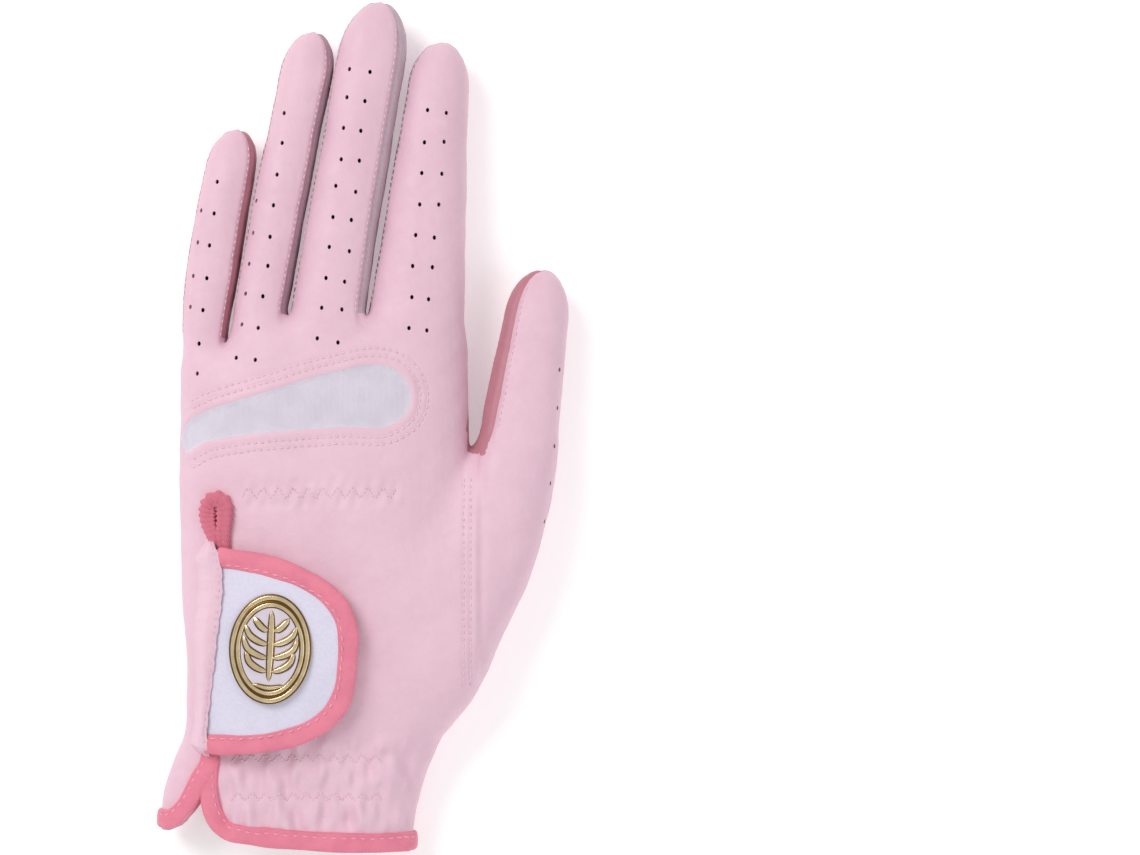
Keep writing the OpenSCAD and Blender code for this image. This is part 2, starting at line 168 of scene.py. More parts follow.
class Stall:
    """One finger's or the thumb's leather tube: its place comes from the joint at its root."""

    def __init__(self, name, hinge, knuckle, length, width, height, z, sway=0.0, belly=0.0):
        joint = JOINTS[f"{name}_root_bend"]
        self.hinge, self.knuckle, self.length = hinge, knuckle, length
        self.across_dir = -np.array(joint["axis"][:2])
        self.along_dir = np.array([-self.across_dir[1], self.across_dir[0]])
        self.root = np.array(joint["pos_m"][:2]) / MM - hinge * self.along_dir
        self.width, self.height, self.z, self.sway, self.belly = width, height, z, sway, belly
        self.dome = width[1] * DOME
        self.straight = length - self.dome
        self.border = hinge - BEND_HALF  # the hand's leather ends here and the stall's starts
        self.middle = (hinge + knuckle) / 2  # the base piece ends here and the tip piece starts

    def local(self, x, y):
        """Along and across the stall, from its root."""
        dx, dy = x - self.root[0], y - self.root[1]
        along = dx * self.along_dir[0] + dy * self.along_dir[1]
        return along, dx * self.across_dir[0] + dy * self.across_dir[1] - self.drift(along)

    def drift(self, along):
        """How far the middle line leans towards the thumb at this distance along."""
        t = np.clip(along / self.length, 0, 1)
        return self.sway * t ** 2 - self.belly * np.sin(np.pi * t)

    def sizes(self, along):
        """Half width, half height and middle height at this distance along."""
        t = np.clip(along / self.straight, -0.3, 1)
        w, h, mid = (a + (b - a) * t for a, b in (self.width, self.height, self.z))
        return w + self.belly * np.sin(np.pi * np.clip(t, 0, 1)), h, mid

    def field(self, x, y, z):
        """Below 0 inside the tube, 0 on its skin."""
        along, across = self.local(x, y)
        w, h, mid = self.sizes(along)
        n = STALL_EXPONENT
        ring = (np.abs(across / w) ** n + np.abs((z - mid) / h) ** n) ** (2 / n)
        return np.sqrt(ring + (np.maximum(along - self.straight, 0) / self.dome) ** 2) - 1

    def angle(self, p):
        """Angle round the tube's middle, 0 towards the thumb and 90 at the back, in degrees."""
        along, across = self.local(p[:, 0], p[:, 1])
        w, h, mid = self.sizes(along)
        return np.degrees(np.arctan2((p[:, 2] - mid) / h, across / w))

    def point(self, along):
        """Place on the stall's middle line."""
        xy = self.root + along * self.along_dir + self.drift(along) * self.across_dir
        return np.array([xy[0], xy[1], self.sizes(along)[2]])


stalls = {name: Stall(name, **sizes) for name, sizes in STALLS.items()}
FINGERS = ["little", "ring", "middle", "index"]


def hand_section(y):
    """Left edge, right edge and top height of the hand at y."""
    return curve(y, LEFT_EDGE), curve(y, BODY_RIGHT), curve(y, BACK_HEIGHT)


def back_z(x, y):
    """Height of the back of the hand over a place, without folds."""
    left, right, top = hand_section(y)
    across = np.clip(np.abs((x - (left + right) / 2) / ((right - left) / 2)), 0, 1)
    return MID_SHARE * top + (1 - MID_SHARE) * top * (1 - across ** HAND_EXPONENT) ** (1 / HAND_EXPONENT)


# ---------------------------------------------------------------- the stuffed shape as a distance field
GRID = np.array([0.42, 0.8, 0.7])
GRID_LOW, GRID_HIGH = np.array([-57.0, -113.5, -3.0]), np.array([57.0, 114.0, 31.0])


def distance(field):
    """Turns a field into something close to a distance in mm near its skin."""
    slope = np.sqrt(sum(g * g for g in np.gradient(field, *GRID)))
    return np.maximum(field / np.maximum(slope, 0.02), -9)


def join(a, b, reach):
    """Smooth union."""
    h = np.clip(0.5 + 0.5 * (b - a) / reach, 0, 1)
    return b + (a - b) * h - reach * h * (1 - h)


def trim(a, b, reach):
    """Smooth intersection."""
    return -join(-a, -b, reach)


def glove_field():
    """Distance from the stuffed glove's skin at every point of the grid, below 0 inside."""
    x, y, z = np.meshgrid(*[np.arange(GRID_LOW[k], GRID_HIGH[k], GRID[k]) for k in range(3)],
                          indexing="ij", sparse=True)
    x, y, z = (a.astype(np.float32) for a in (x, y, z))
    # The hand.
    n = HAND_EXPONENT
    left, right, top = (v.astype(np.float32) for v in hand_section(y))
    mid = MID_SHARE * top
    half_z = np.where(z > mid, top - mid, 1.12 * mid)
    body = (np.abs((x - (left + right) / 2) / ((right - left) / 2)) ** n + np.abs((z - mid) / half_z) ** n)
    body = distance(body ** (1 / n) - 1)
    body = trim(body, y - curve(x, HAND_END).astype(np.float32), 7.0)
    # The heel of the thumb and the thumb; both thin out towards their ends.
    heel_l, heel_r = (curve(y, e).astype(np.float32) for e in (HEEL_LEFT, HEEL_RIGHT))
    heel = (np.abs((x - (heel_l + heel_r) / 2) / ((heel_r - heel_l) / 2)) ** 2.3
            + np.abs((z - HEEL_Z) / curve(y, HEEL_HALF).astype(np.float32)) ** 2.3)
    heel = distance(heel ** (1 / 2.3) - 1) + 0.2 * np.maximum(-64 - y, 0)
    heel = heel + 0.35 * np.maximum(y - HEEL_END + 6, 0)
    heel = heel + 0.012 * np.maximum(-70 - y, 0) ** 2
    thumb = distance(stalls["thumb"].field(x, y, z).astype(np.float32))
    tail = np.maximum(6 - stalls["thumb"].local(x, y)[0], 0)
    thumb = thumb + 0.12 * tail + 0.006 * tail ** 2
    heel = join(heel, thumb, 3.0)
    reach = curve(y, [(-80, 12.0), (-30, 9.0), (-8, 3.0), (0, 1.2), (20, 1.0)]).astype(np.float32)
    whole = join(body, heel, reach)
    # The fingers, each joined to the hand, and the gaps cut between them.
    tubes = []
    for name in FINGERS:
        tube = distance(stalls[name].field(x, y, z).astype(np.float32))
        tubes.append(tube)
        tail = np.maximum((3 if name == "little" else -3) - stalls[name].local(x, y)[0], 0)
        whole = np.minimum(whole, join(body, tube + 0.10 * tail + 0.016 * tail ** 2, 4.0))
    for a, b, crotch in zip(tubes, tubes[1:], CROTCHES):
        slot = np.minimum(STALL_GAP / 2 - np.abs(a - b) / 2, y - crotch)
        whole = trim(whole, slot, 0.8)
    return trim(whole, -z, 1.5)


def skin_mesh():
    """The whole glove's outer skin as one mesh, in mm."""
    field = glove_field()
    grid = openvdb.FloatGrid(3.0)
    grid.copyFromArray(np.clip(field, -3, 3).astype(np.float32))
    points, quads = grid.convertToQuads(isovalue=0.0)
    return points * GRID + GRID_LOW, quads[:, ::-1]


def mesh_from(points, faces, name, smooth=False):
    mesh = bpy.data.meshes.new(name)
    mesh.from_pydata(points.tolist(), [], faces.tolist() if hasattr(faces, "tolist") else faces)
    mesh.update()
    if smooth:
        mesh.polygons.foreach_set("use_smooth", [True] * len(mesh.polygons))
    return mesh


def merged(parts, name):
    """One smooth mesh from several lots of (points, faces)."""
    faces, base = [], 0
    for points, some in parts:
        faces += [[v + base for v in face] for face in some]
        base += len(points)
    return mesh_from(np.vstack([points for points, _ in parts]), faces, name, True)


def tube_faces(rings, sides, loop=False, flip=False):
    """Faces of a tube whose points go round it ring by ring, with end caps unless it is a loop."""
    index = np.arange(rings * sides).reshape(rings, sides)
    around = np.hstack([index, index[:, :1]])
    if loop:
        around = np.vstack([around, around[:1]])
    corners = [around[:-1, :-1], around[1:, :-1], around[1:, 1:], around[:-1, 1:]]
    if flip:
        corners = [corners[0], corners[3], corners[2], corners[1]]
    faces = np.stack(corners, -1).reshape(-1, 4).tolist()
    if loop:
        return faces
    first, last = index[0].tolist(), index[-1].tolist()
    return faces + ([first[::-1], last] if flip else [first, last[::-1]])


def read(data, key, width=1, kind=float):
    """One value of every vertex, edge, face or corner, as rows of an array."""
    out = np.empty(len(data) * width, kind)
    data.foreach_get(key, out)
    return out.reshape(-1, width) if width > 1 else out


def coords(mesh):
    return read(mesh.vertices, "co", 3)


def normals(mesh):
    return read(mesh.vertex_normals, "vector", 3, np.float32).astype(float)


def set_coords(mesh, points):
    mesh.vertices.foreach_set("co", np.asarray(points, np.float32).ravel())
    mesh.update()


def edges_of(mesh):
    return read(mesh.edges, "vertices", 2, np.int32)


def face_centres(mesh):
    return read(mesh.polygons, "center", 3)


def relax(mesh, rounds, share=0.5):
    """Moves each vertex towards the mean of its neighbours."""
    p, e = coords(mesh), edges_of(mesh)
    a, b = e.T
    count = np.maximum(np.bincount(e.ravel(), minlength=len(p)), 1)[:, None]
    for _ in range(rounds):
        total = np.stack([np.bincount(a, p[b, k], len(p)) + np.bincount(b, p[a, k], len(p))
                          for k in range(3)], 1)
        p = p + share * (total / count - p)
    set_coords(mesh, p)


# ---------------------------------------------------------------- cutting along lines
UNCUT = 50.0  # value of a vertex where nothing is to be cut
CUT_REACH = 6.0
SNAP = 0.22


def cut(mesh, values, reach=CUT_REACH):
    """Splits mesh along the line where values, one for each vertex, change sign. An edge whose two values are
    further apart than reach isn't cut. A vertex nearer the line than SNAP of its edge is moved onto it."""
    p, e, v = coords(mesh), edges_of(mesh), np.array(values, float)
    a, b = e.T

    def crossing():
        return (v[a] * v[b] < 0) & (np.abs(v[a] - v[b]) < reach)

    hit = np.nonzero(crossing())[0]
    t = v[a[hit]] / (v[a[hit]] - v[b[hit]])
    near = np.where(t < 0.5, t, 1 - t)
    order = hit[np.argsort(-near)][near[np.argsort(-near)] < SNAP]
    share = v[a[order]] / (v[a[order]] - v[b[order]])
    place = p[a[order]] + share[:, None] * (p[b[order]] - p[a[order]])
    moved = np.where(share < 0.5, a[order], b[order])
    p[moved], v[moved] = place, 0.0
    set_coords(mesh, p)
    bm = bmesh.new()
    bm.from_mesh(mesh)
    layer = bm.verts.layers.float.new("cut")
    bm.verts.ensure_lookup_table()
    bm.edges.ensure_lookup_table()
    for i in np.nonzero(np.abs(v) < 1e4)[0].tolist():
        bm.verts[i][layer] = v[i]
    split = set()
    for edge in [bm.edges[k] for k in np.nonzero(crossing())[0].tolist()]:
        va, vb = edge.verts[0][layer], edge.verts[1][layer]
        _, new = bmesh.utils.edge_split(edge, edge.verts[0], va / (va - vb))
        new[layer] = 0.0
    for vert in bm.verts:
        if vert[layer] == 0.0:
            split.update(vert.link_faces)
    for face in split:
        zero = [w for w in face.verts if w[layer] == 0.0]
        signs = {w[layer] > 0 for w in face.verts if w[layer] != 0.0}
        if len(zero) >= 2 and len(signs) == 2:
            for k in range(len(zero)):
                w1, w2 = zero[k], zero[(k + 1) % len(zero)]
                if not any(w2 in side.verts for side in w1.link_edges if side in face.edges):
                    bmesh.utils.face_split(face, w1, w2)
                    break
    bm.verts.layers.float.remove(layer)
    bm.to_mesh(mesh)
    bm.free()
    mesh.update()


# ---------------------------------------------------------------- helpers for pieces
WAVES = 9


def wobble(p, sizes, seed):
    """Soft random waves of about -1 to 1; sizes are their lengths in mm along x, y and z."""
    r = np.random.default_rng(seed)
    total = np.zeros(len(p))
    for _ in range(WAVES):
        k = r.normal(size=3)
        k *= r.uniform(0.7, 1.4) / np.linalg.norm(k)
        total += np.sin(2 * np.pi * (p @ (k / np.array(sizes))) + r.uniform(0, 2 * np.pi))
    return total / math.sqrt(WAVES)


def polygon_distance(x, y, polygon):
    """Distance to a closed polygon, below 0 inside it."""
    q = np.array(polygon, float)
    best, inside = np.full(len(x), 1e9), np.zeros(len(x), bool)
    for (ax, ay), (bx, by) in zip(q, np.roll(q, -1, axis=0)):
        ex, ey = bx - ax, by - ay
        t = np.clip(((x - ax) * ex + (y - ay) * ey) / (ex * ex + ey * ey + 1e-12), 0, 1)
        best = np.minimum(best, np.hypot(x - ax - t * ex, y - ay - t * ey))
        if by != ay:
            inside ^= ((ay > y) != (by > y)) & (x < ax + (y - ay) * ex / ey)
    return np.where(inside, -best, best)


def bump(d, width):
    return np.exp(-(d / width) ** 2)


def step(x, low, high):
    t = np.clip((x - low) / (high - low), 0, 1)
    return t * t * (3 - 2 * t)


def add(mesh, name, materials, body="hand", nodes=(), bend=None):
    """Puts a mesh, in mm, into the scene as a piece that rides on a body, or that bends at a joint."""
    mesh.transform(((MM, 0, 0, 0), (0, MM, 0, 0), (0, 0, MM, 0), (0, 0, 0, 1)))
    obj = bpy.data.objects.new(name, mesh)
    bpy.context.scene.collection.objects.link(obj)
    for material in materials:
        mesh.materials.append(material)
    if nodes:
        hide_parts(*nodes)
    if bend:
        a, b, start, end = bend
        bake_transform(obj, a, b, [v * MM for v in start], [v * MM for v in end])
    else:
        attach(obj, body)
    return obj


def shell(mesh, keep, name, thick=LEATHER, points=None, normal=None):
    """A sheet with thickness from the faces of mesh where keep is true, with the whole mesh's shading."""
    starts, totals = (read(mesh.polygons, key, kind=np.int32) for key in ("loop_start", "loop_total"))
    verts = read(mesh.loops, "vertex_index", kind=np.int32)
    points = coords(mesh) if points is None else points
    normal = normals(mesh) if normal is None else normal
    loops = [verts[s:s + t] for s, t in zip(starts[keep].tolist(), totals[keep].tolist())]
    flat = np.concatenate(loops)
    used, local = np.unique(flat, return_inverse=True)
    n = len(used)
    cuts = np.cumsum([len(loop) for loop in loops])[:-1]
    faces = [f.tolist() for f in np.split(local, cuts)]
    sides = set()
    for f in faces:
        sides.update(zip(f, f[1:] + f[:1]))
    rim = [(a, b) for a, b in sides if (b, a) not in sides]
    every = faces + [[v + n for v in reversed(f)] for f in faces] + [[b, a, a + n, b + n] for a, b in rim]
    p, q = points[used], normal[used]
    out = mesh_from(np.vstack([p, p - thick * q]), every, name)
    if len(out.polygons) != len(every):
        raise RuntimeError(f"{name}: faces were lost")
    out.polygons.foreach_set("material_index", [0] * len(faces) + [1] * (len(faces) + len(rim)))
    sharp = {(min(a, b), max(a, b)) for a, b in rim} | {(min(a, b) + n, max(a, b) + n) for a, b in rim}
    edges = edges_of(out)
    flags = [(min(a, b), max(a, b)) in sharp for a, b in edges.tolist()]
    out.attributes.new("sharp_edge", "BOOLEAN", "EDGE").data.foreach_set("value", flags)
    both = np.vstack([q, -q])
    custom = both[np.concatenate([np.array(f) for f in every])]
    custom[-4 * len(rim):] = 0
    out.normals_split_custom_set(custom.tolist())
    return out


def grid_mesh(grid, name, thick, closed=False):
    """A sheet with thickness from a grid of points (rows, columns, 3); its first side faces up."""
    rows, cols = grid.shape[:2]
    p = grid.reshape(-1, 3)
    index = np.arange(rows * cols).reshape(rows, cols)
    if closed:
        index = np.hstack([index, index[:, :1]])
    quads = np.stack([index[:-1, :-1], index[:-1, 1:], index[1:, 1:], index[1:, :-1]], -1).reshape(-1, 4)
    return shell(mesh_from(p, quads, name), np.ones(len(quads), bool), name, thick)


def frames(path, normal, loop=False):
    """Directions across a path, in its surface, and out of the surface."""
    ahead = np.roll(path, -1, 0) - np.roll(path, 1, 0)
    if not loop:
        ahead[0], ahead[-1] = path[1] - path[0], path[-1] - path[-2]
    ahead = unit(ahead)
    side = unit(np.cross(normal, ahead))
    return side, unit(np.cross(ahead, side))


TAPE_SIDES = 22


def tape(path, normal, width, thick, lift, seam, loop=False, puff=0.12, pitch=2.1, seed=1, scale=1.0):
    """A folded tape sewn along a path: its points and faces, and its stitches' line and normals. seam is where
    the stitches run, as a share of its half width."""
    side, up = frames(path, normal, loop)
    run = run_along(path)
    angle = np.linspace(0, 2 * np.pi, TAPE_SIDES, endpoint=False)
    u = np.sign(np.cos(angle)) * np.abs(np.cos(angle)) ** 0.62
    v = np.sign(np.sin(angle)) * np.abs(np.sin(angle)) ** 0.75
    size = np.ones(len(path)) * scale
    if not loop:
        end = np.minimum(run, run[-1] - run)
        size = size * np.sqrt(np.clip(end / 1.2, 0.02, 1))
    noise = wobble(np.stack([run, run * 0, run * 0 + seed], 1), (9, 9, 9), seed) * 0.05
    half = (width / 2) * size[:, None] * (1 + noise[:, None])
    groove = 1 - 0.34 * bump((u - seam) * width / 2, 0.42) * (v > 0)
    swell = bump((u - seam) * width / 2, 1.0) * (v > 0)
    ripple = 1 + puff * np.sin(2 * np.pi * run / pitch)[:, None] * swell
    high = (thick / 2) * size[:, None] * groove * ripple
    p = (path[:, None] + side[:, None] * (half * u[None, :])[..., None]
         + up[:, None] * (high * v[None, :] + lift)[..., None])
    stitch_line = path + side * (seam * width / 2) + up * (lift + thick * 0.36)
    return p.reshape(-1, 3), tube_faces(len(path), TAPE_SIDES, loop), stitch_line, up


STITCH_RINGS, STITCH_SIDES = 6, 6
STITCH_FACES = tube_faces(STITCH_RINGS, STITCH_SIDES, flip=True)


def stitches(lines, pitch=2.0, length=1.3, radius=0.2, slant=0.0, sink=0.3):
    """Thread stitches along surface lines of (points, normals): the points and the middle of each stitch."""
    shapes, middles = [], []
    prof = np.linspace(0, 1, STITCH_RINGS)
    rise = np.sin(np.pi * prof) ** 0.6 * (sink + 0.12) - sink
    thin = np.clip(np.sin(np.pi * (prof * 0.86 + 0.07)), 0.2, 1) ** 0.5
    ring = np.linspace(0, 2 * np.pi, STITCH_SIDES, endpoint=False)
    r = np.random.default_rng(3)
    for path, normal in lines:
        run = run_along(path)
        starts = np.arange(0.3, run[-1] - length, pitch)
        starts = starts + r.normal(0, 0.06, len(starts))
        if not len(starts):
            continue
        at = starts[:, None] + prof[None, :] * length
        p = np.stack([np.interp(at, run, path[:, k]) for k in range(3)], -1)
        q = unit(np.stack([np.interp(at, run, normal[:, k]) for k in range(3)], -1))
        ahead = unit(p[:, -1:] - p[:, :1]) + 0 * p
        side = unit(np.cross(q, ahead))
        p = p + side * (slant * (prof - 0.5)[None, :, None] + r.normal(0, 0.04, (len(starts), 1, 1)))
        c = p + q * (rise * (radius / 0.2))[None, :, None]
        w = (radius * thin)[None, :, None, None]
        body = (c[:, :, None] + side[:, :, None] * np.cos(ring)[None, None, :, None] * w
                + q[:, :, None] * np.sin(ring)[None, None, :, None] * w * 0.8)
        shapes.append(body.reshape(-1, STITCH_RINGS * STITCH_SIDES, 3))
        middles.append(p[:, 3])
    return (np.concatenate(shapes), np.concatenate(middles)) if shapes else None


def stitch_mesh(bodies, name):
    return merged([(body, STITCH_FACES) for body in bodies], name)


# ---------------------------------------------------------------- materials
def linear(rgb):
    """A colour of screen values from 0 to 255 as Blender's values."""
    shares = [v / 255 for v in rgb]
    return tuple(c / 12.92 if c <= 0.04045 else ((c + 0.055) / 1.055) ** 2.4 for c in shares) + (1,)


class Look:
    """A material made from procedural textures in object coordinates."""

    def __init__(self, name, rgb, rough=0.5, metal=0.0, sheen=0.0, specular=0.4):
        self.material = bpy.data.materials.new(name)
        self.material.use_nodes = True
        self.tree = self.material.node_tree
        self.shader = self.tree.nodes["Principled BSDF"]
        self.height = None
        values = {"Base Color": linear(rgb), "Roughness": rough, "Metallic": metal, "Sheen Weight": sheen,
                  "Specular IOR Level": specular, "Sheen Roughness": 0.45}
        for socket, value in values.items():
            self.shader.inputs[socket].default_value = value
        self.place = self.tree.nodes.new("ShaderNodeTexCoord").outputs["Object"]

    def node(self, kind, **inputs):
        made = self.tree.nodes.new("ShaderNode" + kind)
        for key, value in inputs.items():
            key = key.replace("_", " ")
            if isinstance(value, bpy.types.NodeSocket):
                self.tree.links.new(value, made.inputs[key])
            else:
                made.inputs[key].default_value = value
        return made

    def mapped(self, size, turn=(0, 0, 0)):
        """Coordinates in units of size mm."""
        turned = self.node("Mapping", Vector=self.place, Rotation=turn).outputs[0]
        return self.node("Mapping", Vector=turned, Scale=[1 / (size * MM)] * 3).outputs[0]

    def noise(self, size, detail):
        made = self.node("TexNoise", Vector=self.mapped(size), Scale=1.0, Detail=detail, Roughness=0.55)
        return made.outputs[0]

    def cells(self, size):
        made = self.node("TexVoronoi", Vector=self.mapped(size), Scale=1.0)
        made.feature = "SMOOTH_F1"
        return made.outputs["Distance"]

    def waves(self, size, turn, direction, distort):
        made = self.node("TexWave", Vector=self.mapped(size, turn), Scale=0.5, Distortion=distort, Detail=1.0)
        made.bands_direction = direction
        return made.outputs["Fac"]

    def product(self, a, b):
        made = self.tree.nodes.new("ShaderNodeMath")
        made.operation = "MULTIPLY"
        self.tree.links.new(a, made.inputs[0])
        self.tree.links.new(b, made.inputs[1])
        return made.outputs[0]

    def tint(self, by, dark, light, low=0.35, high=0.65):
        """Colours the surface between two tones, following a texture."""
        ramp = self.tree.nodes.new("ShaderNodeMapRange")
        ramp.interpolation_type = "SMOOTHSTEP"
        ramp.inputs["From Min"].default_value, ramp.inputs["From Max"].default_value = low, high
        self.tree.links.new(by, ramp.inputs["Value"])
        mix = self.tree.nodes.new("ShaderNodeMix")
        mix.data_type, mix.blend_type = "RGBA", "MULTIPLY"
        mix.inputs["Factor"].default_value = 1.0
        shade = self.tree.nodes.new("ShaderNodeMix")
        shade.data_type = "RGBA"
        self.tree.links.new(ramp.outputs[0], shade.inputs["Factor"])
        shade.inputs[6].default_value = tuple(dark) + (1,)
        shade.inputs[7].default_value = tuple(light) + (1,)
        before = self.shader.inputs["Base Color"]
        if before.is_linked:
            self.tree.links.new(before.links[0].from_socket, mix.inputs[6])
        else:
            mix.inputs[6].default_value = before.default_value
        self.tree.links.new(shade.outputs[2], mix.inputs[7])
        self.tree.links.new(mix.outputs[2], before)
        return self

    def relief(self, by, height, strength=1.0):
        """Raises the surface by a texture, height in mm."""
        made = self.node("Bump", Strength=strength, Distance=height * MM, Height=by)
        if self.height is not None:
            self.tree.links.new(self.height, made.inputs["Normal"])
        self.height = made.outputs[0]
        self.tree.links.new(self.height, self.shader.inputs["Normal"])
        return self

    def shine(self, by, low, high):
        ramp = self.tree.nodes.new("ShaderNodeMapRange")
        ramp.inputs["To Min"].default_value, ramp.inputs["To Max"].default_value = low, high
        self.tree.links.new(by, ramp.inputs["Value"])
        self.tree.links.new(ramp.outputs[0], self.shader.inputs["Roughness"])
        return self


def leather(name, rgb):
    look = Look(name, rgb, 0.52, sheen=0.05, specular=0.3)
    grain = look.cells(0.75)
    look.tint(look.noise(14, 3), (0.965, 0.955, 0.965), (1.0, 1.0, 1.0))
    look.tint(look.noise(2.4, 4), (0.985, 0.975, 0.98), (1, 1, 1))
    # Painted shade: the leather is a little darker towards the fingers, from y -20 mm to y 60 mm and beyond.
    split = look.node("SeparateXYZ", Vector=look.place)
    look.tint(split.outputs["Y"], (1, 1, 1), (0.972, 0.958, 0.958), -0.02, 0.06)
    look.relief(look.noise(3.5, 4), 0.10, 0.8).relief(grain, 0.07, 0.7).relief(look.noise(0.28, 3), 0.03, 0.6)
    look.shine(look.noise(5, 3), 0.45, 0.6)
    return look.material


def knit(name, rgb, pitch, turn=0.0, rough=0.7):
    look = Look(name, rgb, rough, sheen=0.15, specular=0.25)
    ribs = look.waves(pitch, (0, 0, turn), "X", 0.6)
    rows = look.waves(pitch * 0.8, (0, 0, turn), "Y", 0.6)
    weave = look.product(ribs, rows)
    look.tint(weave, (0.86, 0.84, 0.86), (1, 1, 1), 0.0, 0.7)
    look.tint(look.noise(6, 3), (0.95, 0.94, 0.95), (1, 1, 1))
    look.relief(weave, 0.16, 0.9).relief(look.noise(0.25, 2), 0.04, 0.6)
    return look.material


def woven(name, rgb, pitch=0.5):
    look = Look(name, rgb, 0.62, sheen=0.12, specular=0.3)
    twill = look.waves(pitch, (0.3, 0.2, 0.9), "X", 1.2)
    look.tint(twill, (0.87, 0.80, 0.83), (1.04, 1.03, 1.03), 0.1, 0.9)
    look.tint(look.noise(5, 3), (0.93, 0.90, 0.92), (1, 1, 1))
    look.relief(twill, 0.06, 0.8).relief(look.noise(0.3, 3), 0.06, 0.7)
    return look.material


def nap(name, rgb, size, rough=0.85, deep=0.08):
    look = Look(name, rgb, rough, sheen=0.15, specular=0.2)
    look.tint(look.noise(size * 2, 4), (0.95, 0.95, 0.96), (1, 1, 1))
    look.tint(look.noise(9, 3), (0.972, 0.97, 0.975), (1, 1, 1))
    look.relief(look.noise(size, 4), deep, 0.8)
    return look.material


def gold(name, rgb, rough):
    look = Look(name, rgb, rough, metal=1.0, specular=0.5)
    look.shine(look.noise(1.6, 4), rough - 0.06, rough + 0.12)
    look.tint(look.noise(3.5, 3), (0.86, 0.82, 0.74), (1, 1, 1))
    look.relief(look.noise(0.5, 3), 0.02, 0.6)
    return look.material


LEATHER_PINK = leather("leather_pink", (230, 194, 209))
# Darker pink strip leather, deepened further as painted shade: it stands for the shade on the thumb's inner
# side.
LEATHER_STRIP_PAINTED_SHADE = leather("leather_strip_painted_shade", (192, 130, 143))
LEATHER_INNER = nap("leather_inner", (196, 150, 164), 0.5)
KNIT_GREY = knit("knit_grey", (212, 190, 200), 0.7, 0.12)
KNIT_ROSE = knit("knit_rose", (196, 158, 172), 0.7, 0.17)
INSERT = knit("insert_knit", (246, 240, 253), 0.5, 0.0, 0.55)
TAPE = woven("tape_rose", (240, 140, 163))
TAPE_DEEP = knit("tape_gathered", (236, 132, 154), 0.75, 0.3)
MICROFIBRE = nap("microfibre", (222, 219, 236), 0.4, 0.8, 0.05)
THREAD = woven("thread_pink", (250, 222, 231), 0.3)
THREAD_TAPE = woven("thread_light", (255, 184, 204), 0.3)
WEBBING = knit("webbing", (226, 206, 214), 0.9)
PILE = nap("loop_pile", (214, 150, 168), 0.9, 0.95, 0.4)
HOOKS = nap("hook_tape", (226, 214, 222), 0.6, 0.5, 0.12)
GOLD = gold("badge_gold", (248, 230, 190), 0.2)
# Dark brown for wide low bars under the badge's gold lines and rims: painted shade along their sides.
BADGE_PAINTED_SHADE = gold("badge_painted_shade", (120, 88, 52), 0.34)
ENAMEL = nap("badge_enamel", (214, 206, 218), 1.2, 0.4, 0.02)


# ---------------------------------------------------------------- the leather shell
# Lines on the hand in mm, seen from above.
INSERT_LINE = [(-46.6, -3.0), (-45.2, 0.6), (-40.2, 3.8), (-31.1, 6.9), (-22.2, 9.5), (-13.1, 12.35),
               (-3.8, 14.7), (3.0, 16.0), (7.9, 15.2), (11.6, 12.35), (13.1, 8.45), (11.8, 3.25), (7.9, 0.4),
               (-3.8, -0.1), (-19.1, -1.2), (-32.1, -2.5), (-40.7, -4.3), (-45.6, -6.6)]
FLAP_LINE = [(-38.6, -83.0), (-39.3, -87.6), (-41.2, -90.6), (-42.8, -93.6), (-45.4, -98.2), (-48.2, -100.9),
             (-50.6, -101.9), (-52.3, -100.6)]
BACK_LINE = [(-38.4, -84.0), (-38.8, -88.0), (-39.1, -95.0), (-38.4, -99.0), (-36.6, -102.6), (-33.8, -104.6),
             (-29.2, -105.4), (-16.3, -106.7), (-2.0, -107.5), (13.4, -107.5)]
CUT_AWAY = [(-39.7, -91.0), (-41.0, -94.0), (-43.4, -99.4), (-46.6, -103.2), (-50.0, -104.6), (-60.0, -104.6),
            (-60.0, -122.0), (24.0, -122.0), (24.0, -109.5), (-2.0, -109.5), (-16.5, -108.7), (-29.8, -107.4),
            (-35.6, -106.4), (-39.2, -102.9), (-40.9, -98.6), (-41.2, -95.0)]
SLIT = [(-96.0, -40.2), (-84.0, -39.4), (-60.0, -38.2), (-31.0, -36.6), (-20.5, -36.9)]  # (y, x)
SLIT_TOP = -20.5
THUMB_SEAM_X = 27.4
BACK_FLOOR = 9.0  # the back's openings are cut above this height only
INSERT_OUTLINE = smooth_path(INSERT_LINE + INSERT_LINE[:1], 1.5)[:-1]
# Angles where a stall's leather ends, first on the thumb's side: the back's leather and then the palm's.
STALL_SEAMS = {"index": (-24.0, 166.0), "middle": (43.0, 165.0), "ring": (43.0, 165.0),
               "little": (42.0, 165.0), "thumb": (-30.0, 129.0)}
PALM_SEAMS = {"index": (-42.0, 214.0), "middle": (-36.0, 216.0), "ring": (-36.0, 216.0),
              "little": (-36.0, 216.0), "thumb": (-48.0, 212.0)}


def wrap(angle, low):
    return (angle - low) % 360 + low


def arc_offset(stall, p, degrees):
    """Distance round the stall from one of its angles, in mm."""
    along, _ = stall.local(p[:, 0], p[:, 1])
    w, h, _ = stall.sizes(along)
    dome = np.sqrt(np.clip(1 - (np.maximum(along - stall.straight, 0) / stall.dome) ** 2, 0.02, 1))
    return wrap(stall.angle(p) - degrees, -180) * np.pi / 180 * (w + h) / 2 * dome


def owners(p):
    """Number of the stall nearest each point, and the point's distance along it, -20 off the stall's sides."""
    away = np.stack([np.abs(stall.field(*p.T)) for stall in stalls.values()])
    along, across = np.stack([stall.local(p[:, 0], p[:, 1]) for stall in stalls.values()], 1)
    on = np.abs(across) < 1.3 * np.array([stall.width[0] for stall in stalls.values()])[:, None]
    near = np.argmin(np.where((along > -9) & on, away, 9), 0)
    return near, np.take_along_axis(np.where(on, along, -20), near[None], 0)[0]


